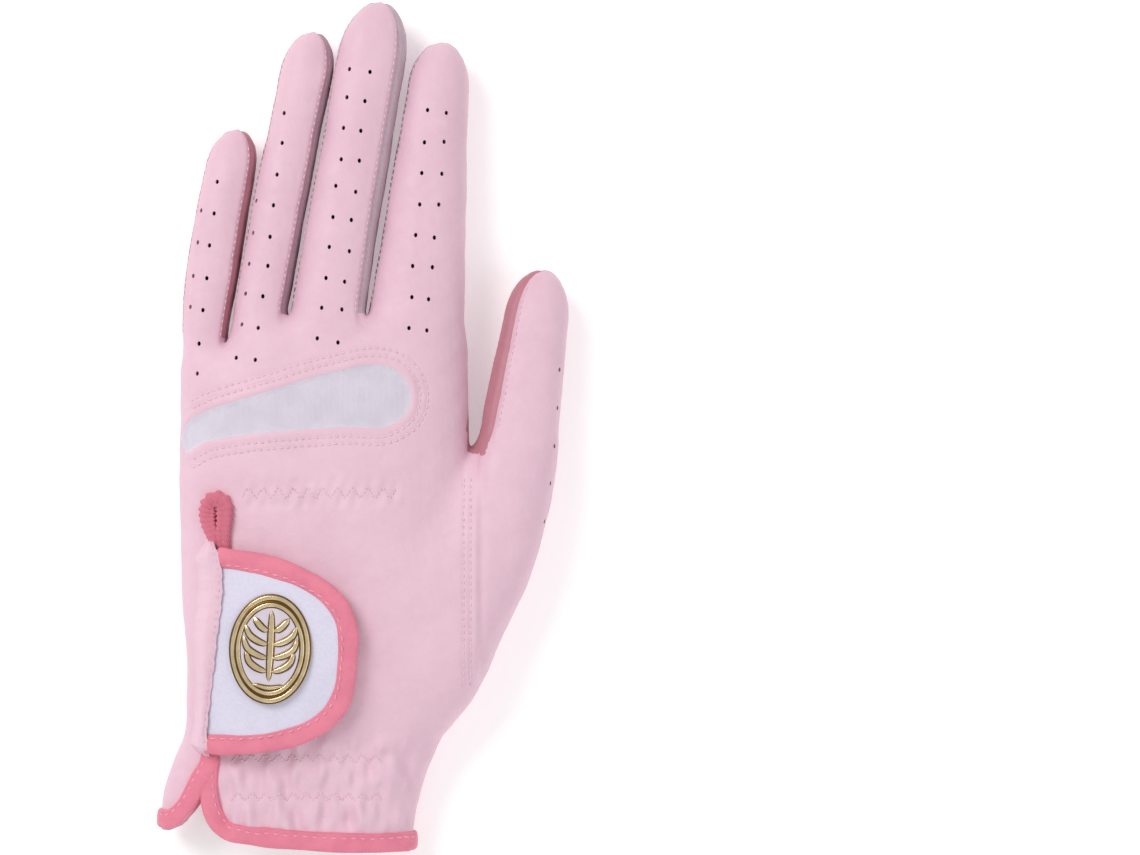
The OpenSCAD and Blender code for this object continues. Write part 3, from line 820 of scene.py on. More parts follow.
points, quads = skin_mesh()
skin = mesh_from(points, quads, "skin")
relax(skin, 8)
p, q = coords(skin), normals(skin)
if (q * (p - p.mean(0)))[:, 2].mean() < 0:
    skin.flip_normals()
    q = normals(skin)
x, y, z = p.T
near, along = owners(p)
back, under = (np.clip(sign * q[:, 2] * 1.6, 0, 1) for sign in (1, -1))
# How far the skin moves outwards: soft unevenness first.
move = 0.16 * wobble(p, (26, 34, 26), 4) + 0.07 * wobble(p, (7, 10, 7), 5)
move += 0.025 * wobble(p, (2.4, 3, 2.4), 6)
# Seams along the stalls and creases across them.
for k, (name, stall) in enumerate(stalls.items()):
    mine = (near == k) & (along > -3)
    fade = step(along, -3, 3)
    for degrees in STALL_SEAMS[name] + PALM_SEAMS[name]:
        d = arc_offset(stall, p, degrees)
        ripple = 1 + 0.3 * np.sin(along * 2 * np.pi / 2.1 + degrees)
        groove = 0.42 * bump(d, 0.75) - 0.13 * ripple * bump(np.abs(d) - 1.5, 0.8)
        move = np.where(mine, move - fade * groove, move)
    for s, deep in ((stall.knuckle, 0.22), (stall.knuckle + 2.6, 0.13), (stall.hinge + 5, 0.12)):
        crease = deep * bump(along - s - 0.6 * np.sin(x * 0.7 + k), 1.1) * back
        move = np.where(mine, move - crease, move)
# The stretch panel lies deeper than the leather, whose edge has two sewn grooves.
d_insert = polygon_distance(x, y, INSERT_OUTLINE)
on_back = back * (along < 4)
move += on_back * (0.28 * bump(d_insert - 0.9, 0.8) - 0.5 * step(d_insert, 0.35, -0.9)
                   - 0.16 * bump(d_insert - 2.3, 0.5) - 0.16 * bump(d_insert - 4.2, 0.5)
                   + 0.10 * bump(d_insert - 3.2, 0.7) * (1 + 0.6 * wobble(p, (3, 3, 3), 11)))
# The thumb's seam on the back, two sewn grooves beside it and the fold at the crotch.
low_thumb = step(y, -72, -66) * step(y, -8, -15) * back
move += low_thumb * (0.35 * bump(x - 29.6, 0.9) - 0.35 * bump(x - 31.3, 1.0) - 0.2 * bump(x - 26.5, 0.45)
                     - 0.2 * bump(x - 28.3, 0.45))
crotch_fold = np.hypot((x - 29.6) / 0.9, np.maximum(-8 - y, 0) / 9 + np.maximum(y + 8, 0) / 3)
move -= back * 0.8 * np.exp(-crotch_fold ** 2)
# Gathers over the elastics: the wrist's, the upper one and the palm's.
gather = wobble(p, (5.2, 34, 60), 21) + 0.6 * wobble(p, (3.4, 9, 60), 22)
wrist = step(y, -78, -84) * step(y, -107, -102) * step(x, 18, 8) * step(x, -40, -34)
row = np.maximum(bump(y + 85, 2.6), bump(y + 95, 2.6))
move += back * wrist * (0.95 * gather * (1 - 0.4 * row) - 0.5 * row)
upper = step(y, -12.5, -14.5) * step(y, -22, -19.5) * step(x, 13, 9) * step(x, -34, -30)
move += back * upper * (0.2 * wobble(p, (3.6, 7, 40), 23) - 0.18)
move += under * step(y, -80, -84) * step(y, -96, -92) * (0.25 * wobble(p, (4.2, 20, 60), 24) - 0.12)
# The thumb's seam on the palm.
thumb_seam = step(y, -72, -66) * step(y, 6, -2) * under
move += thumb_seam * (0.14 * bump(x - 29.4, 0.8) - 0.38 * bump(x - 27.6, 0.8))
p = p + move[:, None] * q
FLAT_BELOW = 0.35  # height under which the palm lies flattened on the floor, mm
p[:, 2] = np.where(p[:, 2] < FLAT_BELOW, FLAT_BELOW + 0.25 * (p[:, 2] - FLAT_BELOW), p[:, 2])
set_coords(skin, p)
relax(skin, 1, 0.3)

# The places of the holes in the leather: rows of pairs along each finger, and single ones along the thumb. A
# row is the middle of its first pair, the middle of its last, the number of pairs and a pair's spacing.
PAIR_ROWS = {"index": ((19.6, 81.5), (15.0, 25.1), 8, 5.0), "middle": ((-0.4, 92.2), (-8.3, 22.5), 10, 4.9),
             "ring": ((-22.2, 81.5), (-29.25, 17.8), 9, 4.7),
             "little": ((-39.3, 63.8), (-44.9, 13.9), 7, 4.4)}
THUMB_HOLES = [(51.25, 14.7), (50.7, 4.8), (49.95, -5.1), (48.9, -14.7), (47.35, -24.6)]
HOLE = (0.46, 0.6, 0.52)  # half sizes of a hole
HOLE_REFINED = 1.25  # faces within this distance of a hole are made smaller
holes = []
for name, (top, bottom, count, apart) in PAIR_ROWS.items():
    for k in range(count):
        mid = np.array(top) + (np.array(bottom) - np.array(top)) * k / (count - 1)
        for side in (-1, 1):
            single = name == "ring" and k < 3 or name == "little" and k > 4
            if not (single and side < 0):
                holes.append(mid + side * apart / 2 * stalls[name].across_dir + rng.normal(0, 0.25, 2))
holes = [h + (0.8, 0) if h[0] < -42 else h for h in holes] + THUMB_HOLES


def refine(mesh, places, reach):
    """Smaller faces round the given places on the back."""
    bm = bmesh.new()
    bm.from_mesh(mesh)
    centre = face_centres(mesh)
    wanted = np.zeros(len(centre), bool)
    for h in places:
        wanted |= (np.hypot(centre[:, 0] - h[0], centre[:, 1] - h[1]) < reach) & (centre[:, 2] > 10)
    bm.faces.ensure_lookup_table()
    edges = {e for k in np.nonzero(wanted)[0].tolist() for e in bm.faces[k].edges}
    bmesh.ops.subdivide_edges(bm, edges=list(edges), cuts=2, use_grid_fill=True)
    bmesh.ops.triangulate(bm, faces=[f for f in bm.faces if len(f.verts) > 4])
    bm.to_mesh(mesh)
    bm.free()


def hole_distance(p):
    """Distance of points from the rim of the nearest hole, in hole sizes, below 0 inside one."""
    best = np.full(len(p), 9.0)
    for place in holes:
        best = np.minimum(best, np.linalg.norm((p - place) / HOLE, axis=1) - 1)
    return best


refine(skin, holes, HOLE_REFINED)
above = BVHTree.FromPolygons(coords(skin).tolist(), [tuple(f.vertices) for f in skin.polygons])
holes = [np.array(above.ray_cast(Vector((hx, hy, SKY)), Vector((0, 0, -1)))[0]
                  or above.find_nearest(Vector((hx, hy, 15)))[0]) for hx, hy in holes]

# Cuts along every border between two pieces.
def over_line(p):
    """Above 0 where a point is on the back's side of the line between the back and the palm."""
    middle = np.where(p[:, 1] < -80, 9.5, HEEL_Z)
    return p[:, 2] - np.where(p[:, 0] < 0, MID_SHARE * hand_section(p[:, 1])[2], middle)


def seam_x(p):
    """The thumb's seam: a little further out on the palm's side."""
    return THUMB_SEAM_X + 0.9 * (p[:, 2] < 11)


def cut_where(there, value):
    """Cuts the skin where value changes sign; there and value are functions of its points."""
    p = coords(skin)
    cut(skin, np.where(there(p), value(p), UNCUT))


for k, (name, stall) in enumerate(stalls.items()):
    for s in (stall.border, stall.middle):
        near, along = owners(coords(skin))
        cut(skin, np.where(near == k, along - s, UNCUT))
    for degrees in STALL_SEAMS[name] + PALM_SEAMS[name]:
        p = coords(skin)
        near, along = owners(p)
        cut(skin, np.where((near == k) & (along > stall.border - 1.5), arc_offset(stall, p, degrees), UNCUT))
for offset in (-0.5, 0.5):
    cut_where(lambda p: (p[:, 2] > BACK_FLOOR) & (p[:, 1] < -20),
              lambda p: p[:, 0] - curve(p[:, 1], SLIT) - offset)
cut_where(lambda p: np.abs(p[:, 0] + 5) > 24, over_line)
cut_where(lambda p: p[:, 1] < 2, lambda p: p[:, 0] - seam_x(p))
cut_where(lambda p: p[:, 2] > 12, lambda p: polygon_distance(p[:, 0], p[:, 1], INSERT_OUTLINE))
cut_where(lambda p: p[:, 1] < -80, lambda p: polygon_distance(p[:, 0], p[:, 1], CUT_AWAY))
p = coords(skin)
cut(skin, np.where(p[:, 2] > BACK_FLOOR, hole_distance(p), 9.0), 5.0)

# Which piece each face belongs to.
c = face_centres(skin)
near, along = owners(c)
slit_x = curve(c[:, 1], SLIT)
over, high = over_line(c) > 0, c[:, 2] > BACK_FLOOR
beyond_seam = (c[:, 0] > seam_x(c)) & (c[:, 1] < 2) & (c[:, 1] > -72)
in_insert = polygon_distance(c[:, 0], c[:, 1], INSERT_OUTLINE) < 0
region = np.where(over, "back", "palm").astype("U24")
region[over & beyond_seam] = "thumb_back"
region[~over & beyond_seam] = "thumb_palm"
region[over & ~beyond_seam & (c[:, 0] < slit_x) & (c[:, 1] < -20)] = "flap"
region[(region == "back") & in_insert & (c[:, 2] > 12)] = "insert"
for k, (name, stall) in enumerate(stalls.items()):
    angle = stall.angle(c)
    low, high_end = STALL_SEAMS[name]
    palm_low, palm_high = PALM_SEAMS[name]
    kind = np.where(np.abs(wrap(angle, -180)) < 90, "right", "left")
    kind = np.where(wrap(angle, palm_high) < palm_low + 360, "palm", kind)
    kind = np.where(wrap(angle, low) < high_end, "back", kind)
    for part, a, b in (("base", stall.border, stall.middle), ("tip", stall.middle, 999)):
        mine = (near == k) & (along >= a) & (along < b)
        region[mine] = np.char.add(f"{name}_{part}_", kind[mine])
thumb = stalls["thumb"]
at_root = thumb.local(c[:, 0], c[:, 1])[0] > -5.6
on_side = wrap(thumb.angle(c), STALL_SEAMS["thumb"][1]) < 220
# The thumb's left side by its root becomes a strip in the darker strip leather, whose depth is painted shade.
region[(region == "thumb_back") & at_root & on_side] = "thumb_root_strip"
gone = (polygon_distance(c[:, 0], c[:, 1], CUT_AWAY) < 0) & (c[:, 1] < -80)
gone |= (np.abs(c[:, 0] - slit_x) < 0.5) & (c[:, 1] < SLIT_TOP) & high
gone |= (hole_distance(c) < 0) & high
region[gone] = "gone"
whole_p, whole_n = coords(skin), normals(skin)
tree = BVHTree.FromPolygons(whole_p.tolist(), [tuple(f.vertices) for f in skin.polygons])


def bend_of(name, part):
    """How a stall's piece bends: base pieces between hand and base, tip pieces between base and tip."""
    stall = stalls[name]
    hinge = stall.hinge if part == "base" else stall.knuckle
    a, b = ("hand", f"{name}_base") if part == "base" else (f"{name}_base", f"{name}_tip")
    return a, b, stall.point(hinge - BEND_HALF), stall.point(hinge + BEND_HALF)


def leather_piece(regions, name, look, nodes=(), bend=None):
    """The skin's faces in the named regions as one piece with thickness."""
    mesh = shell(skin, np.isin(region, regions), name, LEATHER, whole_p, whole_n)
    add(mesh, name, [look, LEATHER_INNER], nodes=nodes, bend=bend)


leather_piece(["back"], "back_leather", LEATHER_PINK, ["back_panel", "finger_roots_back"])
leather_piece(["flap"], "side_flap_leather", LEATHER_PINK, ["side_flap"])
leather_piece(["palm"], "palm_leather", LEATHER_PINK,
              ["palm_panel", "finger_roots_palm", "finger_roots_gusset"])
for part in ("thumb_back", "thumb_palm"):
    leather_piece([part], part + "_leather", LEATHER_PINK, [part + "_panel"])
# Painted shade: the darker strip leather on the thumb's side by its root.
leather_piece(["thumb_root_strip"], "thumb_root_strip", LEATHER_STRIP_PAINTED_SHADE)
leather_piece(["insert"], "knuckle_stretch_panel", INSERT, ["knuckle_insert"])
# The little finger's and thumb's side strips use the darker strip leather, deepened as painted shade.
STRIPS = {"index": KNIT_GREY, "middle": KNIT_GREY, "ring": KNIT_ROSE, "little": LEATHER_STRIP_PAINTED_SHADE,
          "thumb": LEATHER_STRIP_PAINTED_SHADE}
for name, stall in stalls.items():
    one_strip = name in ("index", "thumb")  # the leather goes round the side towards the thumb
    for part, length in (("base", stall.middle - stall.border), ("tip", stall.length - stall.middle)):
        here, bend = f"{name}_{part}_", bend_of(name, part)
        backs, strips = (["back", "right"], ["left"]) if one_strip else (["back"], ["left", "right"])
        leather_piece([here + side for side in backs], here + "back_leather", LEATHER_PINK,
                      [here + "back"], bend)
        leather_piece([here + "palm"], here + "palm_leather", LEATHER_PINK, [here + "palm"], bend)
        leather_piece([here + side for side in strips], here + "side_strips", STRIPS[name],
                      [here + "gusset"], bend)


# ---------------------------------------------------------------- lines on the surface
def on_skin(path_xy, lift, start, down, near_height):
    """Points and normals where a line seen from above or below meets the skin."""
    found = []
    for a, b in path_xy:
        hit = tree.ray_cast(Vector((a, b, start)), Vector((0, 0, down)))
        found.append(hit if hit[0] is not None else tree.find_nearest(Vector((a, b, near_height))))
    return settle([hit[0] for hit in found], [hit[1] for hit in found], lift)


def on_back_of(path_xy, lift=0.0):
    return on_skin(path_xy, lift, SKY, -1, 12)


def on_palm_of(path_xy, lift=0.0):
    return on_skin(path_xy, lift, PIT, 1, 3)


def settle(found, normal, lift):
    """Evens out a line of surface points and their normals."""
    found, normal = np.array(found, float), np.array(normal, float)
    for _ in range(3):
        normal[1:-1] = unit(normal[:-2] + 2 * normal[1:-1] + normal[2:])
        found[1:-1] = found[1:-1] + 0.25 * (found[:-2] + found[2:] - 2 * found[1:-1])
    return found + lift * normal, normal


def along_stall(name, degrees, low, high):
    """A line along a stall at one angle round it."""
    stall, found, normal = stalls[name], [], []
    turn = math.radians(degrees)
    for s in np.arange(low, high, 0.6):
        w, h, _ = stall.sizes(s)
        xy = math.cos(turn) * w * stall.across_dir
        past = max(s - stall.straight, 0)
        centre = Vector(stall.point(min(s, stall.straight + 0.4 * past)))
        out = Vector((xy[0], xy[1], math.sin(turn) * h)).normalized()
        ahead = stall.along_dir * past / stall.dome * 1.2
        out = Vector((out[0] + ahead[0], out[1] + ahead[1], out[2])).normalized()
        place, direction, _, _ = tree.ray_cast(centre, out)
        if place is not None and (place - centre).length < 14:
            found.append(place)
            normal.append(direction)
    return settle(found, normal, 0.05)


def sew(lines, name, body="hand", look=THREAD, stall=None, **shape):
    """Stitches as a piece of their own; along a stall they are shared out between its bodies."""
    found = stitches([line for line in lines if len(line[0]) > 3], **shape)
    if found is None:
        return
    bodies, middle = found
    if stall is None:
        add(stitch_mesh(bodies, name), name, [look], body)
        return
    s = stalls[stall].local(middle[:, 0], middle[:, 1])[0]
    border, half_way = stalls[stall].border, stalls[stall].middle
    for part, a, b in (("root", -99, border), ("base", border, half_way), ("tip", half_way, 999)):
        keep, here = (s >= a) & (s < b), f"{name}_{part}"
        if keep.any():
            bend = None if part == "root" else bend_of(stall, part)
            add(stitch_mesh(bodies[keep], here), here, [THREAD], bend=bend)


for name, stall in stalls.items():
    low, high = STALL_SEAMS[name]
    right_edge = [] if name in ("index", "thumb") else [along_stall(name, low + 7.0, 1.5, stall.length - 4)]
    left_edge = [along_stall(name, high - (9.0 if name == "thumb" else 7.0), 1.5, stall.length - 4)]
    sew(right_edge + left_edge, f"{name}_seam_thread", stall=name, pitch=1.75, length=1.1, sink=0.18)

# Two rows of stitches round the insert, broken at the glove's left side.
closed = smooth_path(INSERT_LINE + INSERT_LINE[:1], 1.2)[:-1]
ahead = unit(np.roll(closed, -1, 0) - np.roll(closed, 1, 0))
outwards = np.stack([-ahead[:, 1], ahead[:, 0]], 1)
insert_rows = []
for d in (2.3, 4.2):
    moved = closed + d * outwards
    path = even_steps(np.vstack([moved, moved[:1]]), 0.8)
    path = path[path[:, 0] > -44.2]
    breaks = np.nonzero(np.linalg.norm(np.diff(path, axis=0), axis=1) > 3)[0]
    for piece in np.split(path, breaks + 1):
        if len(piece) > 4:
            insert_rows.append(on_back_of(piece, 0.03))
sew(insert_rows, "insert_thread", pitch=1.75, length=1.25, radius=0.24, sink=0.16)

thumb_rows = [on_back_of(even_steps(np.array([(a, -13.0), (a, -40.0), (a - 0.1, -68.0)]), 0.8), 0.03)
              for a in (26.5, 28.3)]
sew(thumb_rows, "thumb_seam_thread", pitch=1.8, length=1.25, radius=0.22, sink=0.16)
palm_rows = [on_palm_of(even_steps(np.array([(a, -2.0), (a, -40.0), (a, -66.0)]), 0.8), 0.03)
             for a in (29.4, 31.0)]
sew(palm_rows, "thumb_palm_thread", pitch=1.8, length=1.2, radius=0.16)


def zigzag(x0, x1, y, rise, run, low=False):
    """A zigzag line on the back, or low on the palm; run is half a wave's length."""
    count = int((x1 - x0) / run)
    xs = np.linspace(x0, x1, count + 1)
    ys = y + rise * np.where(np.arange(count + 1) % 2, 0.5, -0.5)
    return (on_palm_of if low else on_back_of)(even_steps(np.stack([xs, ys], 1), 0.5), 0.02)


sew([zigzag(-30.6, 9.5, -17.0, 3.4, 1.9)], "upper_elastic_thread", pitch=1.05, length=0.9, sink=0.12)
sew([zigzag(-33.5, 5.5, level, 2.6, 1.7) for level in (-85.6, -95.4)], "wrist_elastic_thread", pitch=1.0,
    length=0.85, sink=0.12)
sew([zigzag(-42.0, 11.0, -89.0, 3.2, 1.9, True)], "palm_elastic_thread", pitch=1.05, length=0.85, radius=0.15)


def band(x0, x1, y, wide, name, node, low=False):
    """Elastic webbing sewn flat against the inside of the leather."""
    rows = []
    for share in np.linspace(-0.5, 0.5, 9):
        path = even_steps(np.array([(x0, y + share * wide), (x1, y + share * wide)], float), 0.6)
        points, normal = (on_palm_of if low else on_back_of)(path)
        rows.append(points - normal * (LEATHER + 0.35 + 0.15 * np.sin(path[:, :1] * 2 * np.pi / 1.6)))
    grid = np.array(rows[::-1] if low else rows)
    add(grid_mesh(grid, name, 0.8), name, [WEBBING, WEBBING], nodes=[node])


band(-30.6, 9.8, -17.0, 4.6, "upper_elastic", "back_elastic")
band(-33.5, 5.5, -90.5, 12.5, "wrist_elastic_band", "wrist_elastic")
band(-43.5, 11.0, -89.0, 5.0, "palm_elastic_band", "palm_elastic", True)

# ---------------------------------------------------------------- bindings
flap_path = even_steps(smooth_path(FLAP_LINE, 0.8), 0.7)
back_path = even_steps(smooth_path(BACK_LINE, 0.8), 0.7)


def bind_along(points, normal, name, nodes=(), thick=2.3, lift=0.15, seam=0.5):
    """Binding tape and its stitches along surface points."""
    part = tape(points, normal, 4.9, thick, lift, seam)
    add(merged([part[:2]], name), name, [TAPE], nodes=nodes)
    sew([part[2:]], name + "_thread", look=THREAD_TAPE, pitch=2.5, length=1.75, radius=0.24)


def bind(xy, name, nodes, low=False, **shape):
    bind_along(*(on_palm_of if low else on_back_of)(xy), name, nodes, **shape)


bind(back_path, "cuff_tape", ["cuff_binding"])
bind(flap_path[::-1], "flap_tape", ["flap_binding"], lift=0.45)
palm_line = np.vstack([flap_path[::-1][:-8], back_path[10:]])
palm_line = even_steps(smooth_path(palm_line[::4], 0.8), 0.7)
bind(palm_line, "palm_cuff_tape", ["palm_cuff_binding"], low=True, seam=-0.5, thick=1.9, lift=-0.85)


def bind_edge(centre, first, last, name):
    """Tape round a side edge of the cuff, from one angle in the section to another."""
    rays = [Vector((math.cos(turn), 0, math.sin(turn))) for turn in np.radians(np.linspace(first, last, 60))]
    found = [hit for hit in (tree.ray_cast(Vector(centre), ray) for ray in rays) if hit[0] is not None]
    points, normal = settle([hit[0] for hit in found], [hit[1] for hit in found], 0.0)
    path = even_steps(points, 0.7)
    run, at = np.linspace(0, 1, len(points)), np.linspace(0, 1, len(path))
    path[:, 2] = np.maximum(path[:, 2], 1.3)
    normal = unit(np.stack([np.interp(at, run, normal[:, k]) for k in range(3)], 1))
    bind_along(path, normal, name, thick=2.2, lift=0.1)


bind_edge((5.0, -107.4, 9.8), 66, -62, "cuff_side_tape")
bind_edge((-45.0, -101.6, 9.6), 246, 122, "flap_side_tape")

# The tape gathered into a loop at the slit's end.
LOOP_LINE = [(-35.1, -33.5), (-35.1, -30.0), (-35.0, -26.0), (-34.7, -22.4), (-35.1, -19.9), (-36.8, -18.9),
             (-38.5, -20.1), (-39.1, -22.6), (-38.7, -25.6), (-37.5, -28.6), (-36.9, -31.0), (-36.7, -33.0)]
loop_xy = even_steps(smooth_path(LOOP_LINE, 0.5), 0.45)
flat_points, flat_normal = on_back_of(loop_xy)
flat_points[:, 2] = np.maximum(flat_points[:, 2], back_z(flat_points[:, 0], flat_points[:, 1]) - 0.6)
flat_normal = unit(flat_normal * 0.3 + UP)
apex = np.exp(-(np.hypot(*(loop_xy - [-37.0, -20.6]).T) / 4.6) ** 2)
loop_part = tape(flat_points, flat_normal, 4.5, 3.4, 0.9, 0.3, puff=0.05, pitch=1.3, seed=5,
                 scale=0.8 + 0.32 * apex)
ribs = loop_part[0].reshape(len(loop_xy), TAPE_SIDES, 3)
run = np.arange(len(loop_xy)) * 0.45
out_dir = unit(ribs - flat_points[:, None])
ribs = ribs + out_dir * (0.36 * np.sin(2 * np.pi * run / 1.35) * (0.3 + apex))[:, None, None]
add(merged([(ribs.reshape(-1, 3), loop_part[1])], "slit_tape"), "slit_tape", [TAPE_DEEP],
    nodes=["slit_binding"])
sew([(loop_part[2][:24] + [0.9, 0, -0.2], loop_part[3][:24])], "slit_thread", look=THREAD_TAPE, pitch=1.5,
    length=1.0, radius=0.15)
# The slit's edge below the loop, hidden by the tab until it is opened.
ys = np.arange(-84.0, -33.0, 0.8)
edge_part = tape(*on_back_of(np.stack([curve(ys, SLIT) + 1.9, ys], 1)), 3.0, 1.7, 0.2, 0.5)
add(merged([edge_part[:2]], "slit_edge_inner"), "slit_edge_inner", [TAPE])
sew([edge_part[2:]], "slit_edge_inner_thread", look=THREAD_TAPE, pitch=2.4, length=1.6, radius=0.18)

# ---------------------------------------------------------------- closure tab
REACH, HALF, TILT = 38.0, 26.4, math.radians(4.3)  # the tab's length, half its width and its turn
ROOT = np.array([-38.7, -57.6])  # middle of its sewn edge
TAB_LIFT = 2.5  # its underside's height over the back of the hand


def tab_edge(v):
    """Reach of the tab's outline as a share of the most, at v from -1 to 1 along it."""
    return np.sqrt(np.clip(1 - np.abs(v) ** 3.2, 0, 1))


def tab_place(u, v):
    """A place on the tab: u mm from its sewn edge, v mm along it."""
    return (ROOT[0] + u * math.cos(TILT) + v * math.sin(TILT),
            ROOT[1] - u * math.sin(TILT) + v * math.cos(TILT))


def tab_height(px, py, lift):
    """Height of the tab's surfaces: they follow the back of the hand at a distance."""
    droop = 0.0016 * np.maximum(px + 22, 0) ** 2
    return back_z(px, py) + TAB_LIFT + lift - np.minimum(droop, 0.9)


TAB_ROWS, TAB_COLUMNS = 72, 56
TAB_START = -0.1  # the tab's sheets start this far from its sewn edge


def tab_grid(inset, lift, bulge=0.0, seed=0, rough=0.0):
    """A D-shaped sheet on the tab, inset from its outline."""
    v = np.sin(np.linspace(-math.pi / 2, math.pi / 2, TAB_ROWS) * 0.985)
    half, reach = HALF - inset, REACH - inset
    vv, uu = np.meshgrid(v, np.linspace(0, 1, TAB_COLUMNS), indexing="ij")
    deep = TAB_START + uu * np.maximum(reach * tab_edge(vv) - TAB_START, 0.2)
    px, py = tab_place(deep, vv * half)
    edge = np.minimum(np.minimum((1 - uu) * reach, (1 - np.abs(vv)) * half), deep + 4)
    pz = tab_height(px, py, lift) + bulge * (1 - np.exp(-np.maximum(edge, 0) / 3.4))
    flat = np.stack([px, py, pz], -1).reshape(-1, 3)
    flat[:, 2] += rough * wobble(flat, (16, 20, 50), seed) + 0.3 * rough * wobble(flat, (5, 6, 50), seed + 1)
    return flat.reshape(TAB_ROWS, TAB_COLUMNS, 3)


def tab_sheet(name, grid, thick, look, node):
    piece = add(grid_mesh(grid, name, thick), name, [look, look], "closure_tab", [node])


tab_sheet("tab_face_sheet", tab_grid(4.3, 2.0, bulge=0.5, seed=31, rough=0.12), 1.0, MICROFIBRE,
          "tab_face")
tab_sheet("tab_lining_sheet", tab_grid(3.9, 0.75, rough=0.03), 0.6, LEATHER_PINK, "tab_lining")

# The tape round the tab, sewn over the edges of both sheets.
TAB_INSET = 2.3  # from the tab's outline to the middle of its tape
v_line = np.sin(np.linspace(-1, 1, 240) * math.pi / 2)
half_in, reach_in = HALF - TAB_INSET, REACH - TAB_INSET
px, py = tab_place(reach_in * tab_edge(v_line), v_line * half_in)
line = np.stack([px, py, 0 * px], 1)
line = np.vstack([[*tab_place(-0.4, -half_in - 0.1), 0], line[2:-2], [*tab_place(-0.4, half_in + 0.1), 0]])
line = even_steps(smooth_path(even_steps(line, 2.1), 0.7), 0.7)
x_line, y_line = line[:, 0], line[:, 1]
line[:, 2] = tab_height(x_line, y_line, 1.55)
slope = np.stack([tab_height(x_line + 0.5, y_line, 0) - tab_height(x_line - 0.5, y_line, 0),
                  tab_height(x_line, y_line + 0.5, 0) - tab_height(x_line, y_line - 0.5, 0)], 1)
part = tape(line, unit(np.hstack([-slope, np.ones((len(line), 1))])), 5.3, 2.9, 0.0, 0.62, seed=9)
add(merged([part[:2]], "tab_tape"), "tab_tape", [TAPE], "closure_tab", ["tab_binding"])
sew([part[2:]], "tab_tape_thread", "closure_tab", THREAD_TAPE, pitch=2.55, length=1.75, radius=0.25,
    slant=0.25)

# Hook and loop patches under the tab.
TUFT_RINGS, TUFT_SIDES = 5, 4
TUFT_FACES = tube_faces(TUFT_RINGS, TUFT_SIDES, flip=True)
ROUND = 3.0  # radius of a patch's corners


def patch_size(node):
    """Least x, most x, least y and most y of a patch's node, in mm."""
    (x0, y0, _), (x1, y1, _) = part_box(node)
    return [v / MM for v in (x0, x1, y0, y1)]


def patch(node, count, name, look, body, height, lift, thick):
    """The tape of a patch."""
    x0, x1, y0, y1 = patch_size(node)
    mid_x, mid_y = (x0 + x1) / 2, (y0 + y1) / 2
    gx, gy = np.meshgrid(np.linspace(x0, x1, count), np.linspace(y0, y1, int(count * 1.4)), indexing="xy")
    corner = np.hypot(np.maximum(np.abs(gx - mid_x) - (x1 - x0) / 2 + ROUND, 0),
                      np.maximum(np.abs(gy - mid_y) - (y1 - y0) / 2 + ROUND, 0))
    pull = np.where(corner > ROUND, ROUND / np.maximum(corner, ROUND), 1.0)
    gx = mid_x + (gx - mid_x) * (1 - 0.12 * (1 - pull))
    grid = np.stack([gx, gy, height(gx, gy) + lift], -1)
    grid[..., 2] += 0.1 * wobble(grid.reshape(-1, 3), (1.3, 1.3, 9), 41).reshape(gx.shape)
    add(grid_mesh(grid, name, thick), name, [look, look], body, [node])


def tufts(node, pitch, height, base, tall, name, look, body, thin, looped):
    """Many small loops, or else hooks, standing on a patch."""
    x0, x1, y0, y1 = patch_size(node)
    r = np.random.default_rng(17)
    shapes = []
    ring = np.linspace(0, 2 * np.pi, TUFT_SIDES, endpoint=False)
    arc = np.linspace(0, 1, TUFT_RINGS)
    reach = (0.9 if looped else 0.45) * abs(tall)
    for a in np.arange(x0 + 1, x1 - 0.6, pitch):
        for b in np.arange(y0 + 1, y1 - 0.6, pitch):
            a1, b1 = a + r.normal(0, pitch * 0.15), b + r.normal(0, pitch * 0.15)
            turn = r.uniform(0, 2 * np.pi) if looped else 0.5 * np.pi
            foot = height(np.array([a1]), np.array([b1]))[0] + base
            bow = np.stack([a1 + reach * (arc - 0.5) * math.cos(turn),
                            b1 + reach * (arc - 0.5) * math.sin(turn),
                            foot + tall * np.sin(np.pi * (arc * (1 if looped else 0.78)))], 1)
            side = np.array([-math.sin(turn), math.cos(turn), 0]) * thin
            shape = bow[:, None] + np.cos(ring)[:, None] * side + np.sin(ring)[:, None] * (UP * thin)
            shapes.append((shape.reshape(-1, 3), TUFT_FACES))
    add(merged(shapes, name), name, [look], body)


def skin_height(px, py):
    """Height of the glove's back over places."""
    top = [(tree.ray_cast(Vector((a, b, SKY)), Vector((0, 0, -1)))[0] or Vector((a, b, 25)))[2]
           for a, b in zip(np.ravel(px), np.ravel(py))]
    return np.array(top).reshape(np.shape(px))


def tab_under(px, py):
    return tab_height(px, py, 0.1)


patch("loop_patch", 40, "loop_tape", PILE, "hand", skin_height, 0.9, 1.0)
tufts("loop_patch", 0.95, skin_height, 0.8, 0.55, "loop_tape_pile", PILE, "hand", 0.07, True)
patch("hook_patch", 36, "hook_tape_sheet", HOOKS, "closure_tab", tab_under, 0.0, 0.6)
tufts("hook_patch", 1.15, tab_under, -0.5, -0.6, "hook_tape_hooks", HOOKS, "closure_tab", 0.09,
      False)

